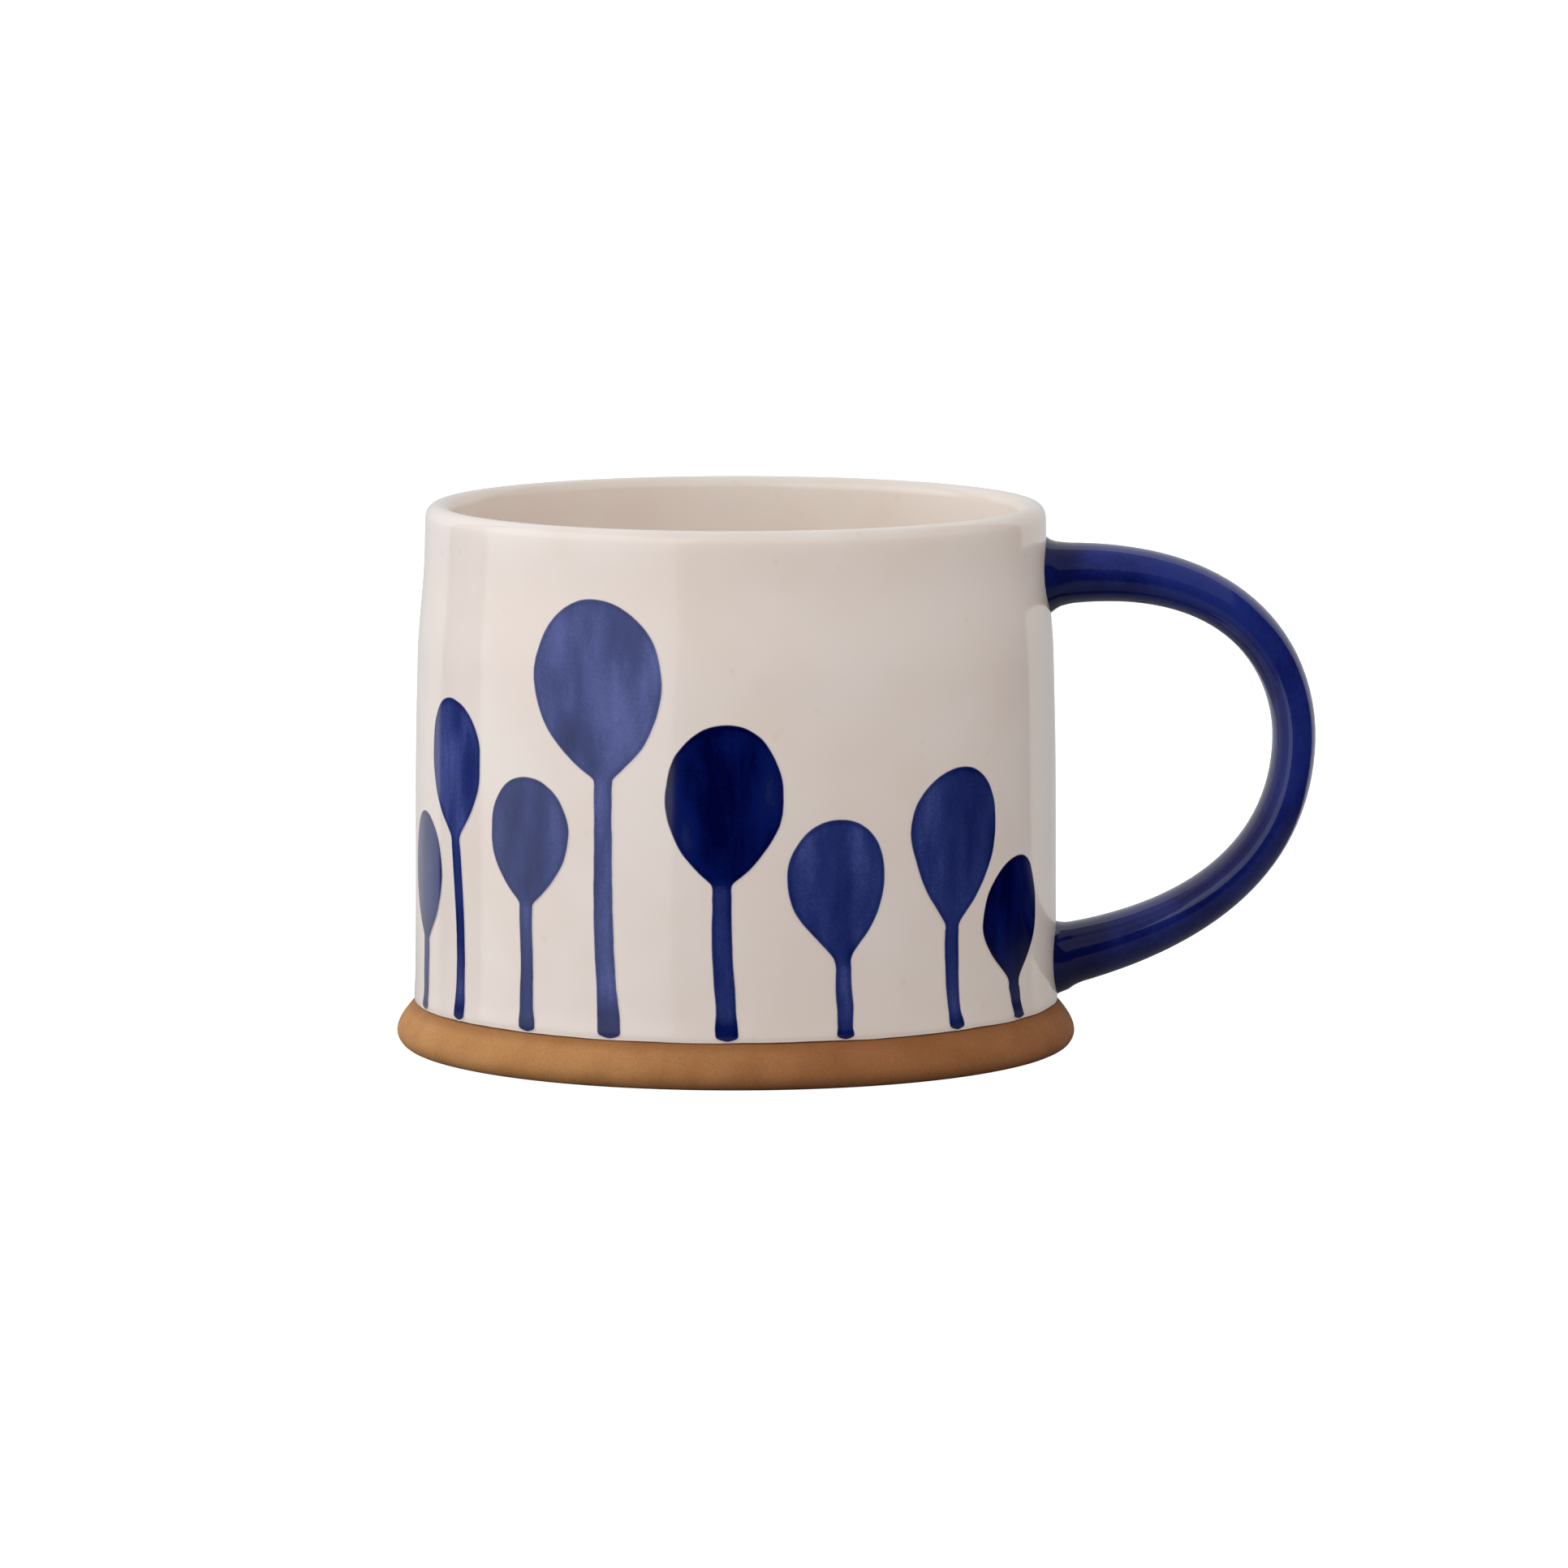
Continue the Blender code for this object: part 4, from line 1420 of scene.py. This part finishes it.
    @staticmethod
    def paint_load(flower: Balloon, down: float, across: float, along_stem: float) -> float:
        """How heavy the paint lies.

        Args:
            flower: The flower.
            down: Share of the way from the head's top to its neck.
            across: Share of the head's half width from its middle line.
            along_stem: Share of the way from the neck to the stem's end, below 0 in the head.

        Returns:
            The paint's weight, from 0 for bare glaze to 1 for the heaviest.
        """
        into_stem = smooth_step((down - 0.93) / 0.10)
        load = flower.tone + (flower.stem_tone - flower.tone) * into_stem
        load += 0.05 * smooth_step((0.10 - down) / 0.10)
        load += sum(pool.weight(down, across) for pool in flower.pools) * (1.0 - into_stem)
        return load + 0.30 * smooth_step((along_stem - 0.80) / 0.16)

    @staticmethod
    def note_paint(mesh: bpy.types.Mesh, flat: np.ndarray, loads: np.ndarray, edge: np.ndarray) -> None:
        """Store how heavy the paint lies and how far each point is from the mark's edge.

        Args:
            mesh: Mesh of the film.
            flat: Places unrolled from the wall.
            loads: Weight of the paint at each place.
            edge: Places of the outline in order, unrolled.
        """
        start, end = edge, np.roll(edge, -1, axis=0)
        run = end - start
        size = np.maximum((run**2).sum(axis=1), 1e-18)
        away = np.full(len(flat), 1.0)
        for first, step, square in zip(start, run, size, strict=True):
            t = np.clip(((flat - first) @ step) / square, 0.0, 1.0)
            away = np.minimum(away, np.linalg.norm(flat - first - t[:, None] * step, axis=1))
        rim = mesh.attributes.new("rim", "FLOAT", "POINT")
        rim.data.foreach_set("value", (away / MM).astype(np.float32))
        load = mesh.attributes.new("load", "FLOAT", "POINT")
        load.data.foreach_set("value", loads.astype(np.float32))

    def build(self, finishes: Finishes) -> list[bpy.types.Object]:
        """Paint every flower on the wall."""
        pieces = []
        for number, flower in enumerate(self.flowers, start=1):
            piece = self.lay(flower, number)
            Bench.outward_sheet(piece)
            film = piece.modifiers.new("film", "SOLIDIFY")
            film.thickness = self.film
            film.offset = -1.0
            Bench.apply(piece)
            Bench.smooth(piece, 60.0)
            Bench.finish(piece, "cobalt_paint", finishes.paint, f"flower_{number:02d}")
            pieces.append(piece)
        return pieces


@dataclass
class HiddenClay:
    """CAD parts under the glaze that keep their shape and get a finish."""

    clay_nodes: tuple[str, ...] = ("body_wall", "corner_coil", "handle")
    slip_nodes: tuple[str, ...] = ("base_slip_seam", "upper_handle_slip", "lower_handle_slip")

    def dress(self, finishes: Finishes) -> None:
        """Give each hidden node its clay or slip."""
        for names, material in ((self.clay_nodes, finishes.clay), (self.slip_nodes, finishes.slip)):
            for name in names:
                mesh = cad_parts[name].data
                mesh.materials.clear()
                mesh.materials.append(material)
                log.info("%s: %s", name, material.name)


@dataclass(frozen=True)
class Softbox:
    """Soft light that faces the mug.

    Its bearing, from the front towards the handle, and its height are in degrees. A glow of 1 is white.
    """

    name: str
    bearing: float
    height: float
    distance: float
    size: Point
    glow: float
    seen: bool = True
    mirrored: bool = True
    tint: Colour = (1.0, 1.0, 1.0)

    def hang(self) -> None:
        """Hang the light at its place."""
        data = bpy.data.lights.new(self.name, "AREA")
        data.shape = "RECTANGLE"
        data.size, data.size_y = self.size
        data.energy = self.glow * math.pi * self.size[0] * self.size[1]
        data.color = self.tint
        light = bpy.data.objects.new(self.name, data)
        bpy.context.scene.collection.objects.link(light)
        a, e = math.radians(self.bearing), math.radians(self.height)
        way = Vector((math.sin(a) * math.cos(e), -math.cos(a) * math.cos(e), math.sin(e)))
        light.location = way * self.distance + Vector((0.0, 0.0, 0.04))
        light.rotation_euler = way.to_track_quat("Z", "Y").to_euler()
        light.visible_camera = self.seen
        light.visible_glossy = self.mirrored


@dataclass
class Studio:
    """Pale floor, soft lights and the camera."""

    eye: tuple[float, float, float] = (7.1 * MM, -1.5, 0.22)
    target: tuple[float, float, float] = (7.1 * MM, 0.0, 38.4 * MM)
    frame_width: float = 0.2309
    sensor: float = 36.0
    floor_shade: float = 0.34
    mirrored_to: float = 0.085
    mirrored_fade: float = 0.11
    mirrored: float = 0.62
    room: float = 0.47
    daylight: Colour = (0.95, 1.0, 1.05)

    def place_camera(self) -> None:
        """Set the camera in front of the mug, a little above its rim."""
        data = bpy.data.cameras.new("camera")
        camera = bpy.data.objects.new("camera", data)
        bpy.context.scene.collection.objects.link(camera)
        away = Vector(self.eye) - Vector(self.target)
        camera.location = self.eye
        camera.rotation_euler = away.to_track_quat("Z", "Y").to_euler()
        data.sensor_width = self.sensor
        data.lens = self.sensor * away.length / self.frame_width
        data.clip_start, data.clip_end = 0.05, 60.0
        bpy.context.scene.camera = camera

    def place_floor(self) -> None:
        """Lay a white floor that polished surfaces mirror only close to the mug."""
        Bench.clear()
        bpy.ops.mesh.primitive_plane_add(size=40.0, location=ORIGIN)
        floor = bpy.context.object
        floor.name = floor.data.name = "floor"
        material, sheet, shader = new_material("floor")
        shader.inputs["Base Color"].default_value = (*(self.floor_shade,) * 3, 1.0)
        shader.inputs["Roughness"].default_value = 0.9
        shader.inputs["Specular IOR Level"].default_value = 0.0
        shader.inputs["Emission Color"].default_value = (1.0, 1.0, 1.0, 1.0)
        path = sheet.add("ShaderNodeLightPath")
        sheet.join(path.outputs["Is Camera Ray"], shader.inputs["Emission Strength"])
        away = sheet.length(sheet.object_place())
        faded_at = self.mirrored_to + self.mirrored_fade
        far = sheet.ease(away, self.mirrored_to, faded_at, 1.0 - self.mirrored, 1.0)
        hidden = sheet.math("MULTIPLY", path.outputs["Is Glossy Ray"], far)
        sheet.join(sheet.math("SUBTRACT", 1.0, hidden), shader.inputs["Alpha"])
        floor.data.materials.append(material)

    def place_world(self) -> None:
        """Fill the room with pale light that polished surfaces don't mirror."""
        world = bpy.data.worlds.new("room")
        world.use_nodes = True
        bpy.context.scene.world = world
        sheet = NodeSheet(world.node_tree)
        ground = world.node_tree.nodes["Background"]
        path = sheet.add("ShaderNodeLightPath")
        seen = sheet.math("MULTIPLY", path.outputs["Is Camera Ray"], 1.0 - self.room)
        ground.inputs["Color"].default_value = (1.0, 1.0, 1.0, 1.0)
        sheet.join(sheet.math("ADD", seen, self.room), ground.inputs["Strength"])
        world.cycles_visibility.glossy = False

    def lights(self) -> tuple[Softbox, ...]:
        """Lights round the mug, in the order they are hung."""
        return (
            Softbox("window_left", -62.0, 14.0, 1.0, (1.80, 1.6), 1.08, tint=self.daylight),
            Softbox(
                "window_side", -117.0, 14.0, 1.0, (0.46, 1.6), 2.0, seen=False, mirrored=False, tint=self.daylight
            ),
            Softbox("overhead", 0.0, 86.0, 1.1, (2.0, 2.4), 0.27),
            Softbox("front_near", 0.0, 38.0, 0.45, (0.5, 0.3), 1.25, seen=False, mirrored=False),
            Softbox("fill_right", 96.0, 12.0, 1.6, (0.7, 1.2), 2.00, mirrored=False),
            Softbox("back_panel", 180.0, 15.0, 1.4, (3.4, 2.0), 0.60, seen=False),
        )

    def build(self) -> None:
        """Set the floor, the room, the lights and the camera."""
        scene = bpy.context.scene
        scene.view_settings.view_transform = "Standard"
        scene.view_settings.look = "None"
        self.place_floor()
        self.place_world()
        for light in self.lights():
            light.hang()
        self.place_camera()


def main() -> None:
    """Build the mug's looks in order."""
    logging.basicConfig(level=logging.INFO, format="%(name)s: %(message)s")
    form = MugForm()
    finishes = Finishes.make()
    HiddenClay().dress(finishes)
    Foot(form).build(finishes)
    CreamCoat(form).build(finishes)
    HandleCoat(form).build(finishes)
    FlowerBand(form).build(finishes)
    Studio().build()


if __name__ == "__main__":
    main()
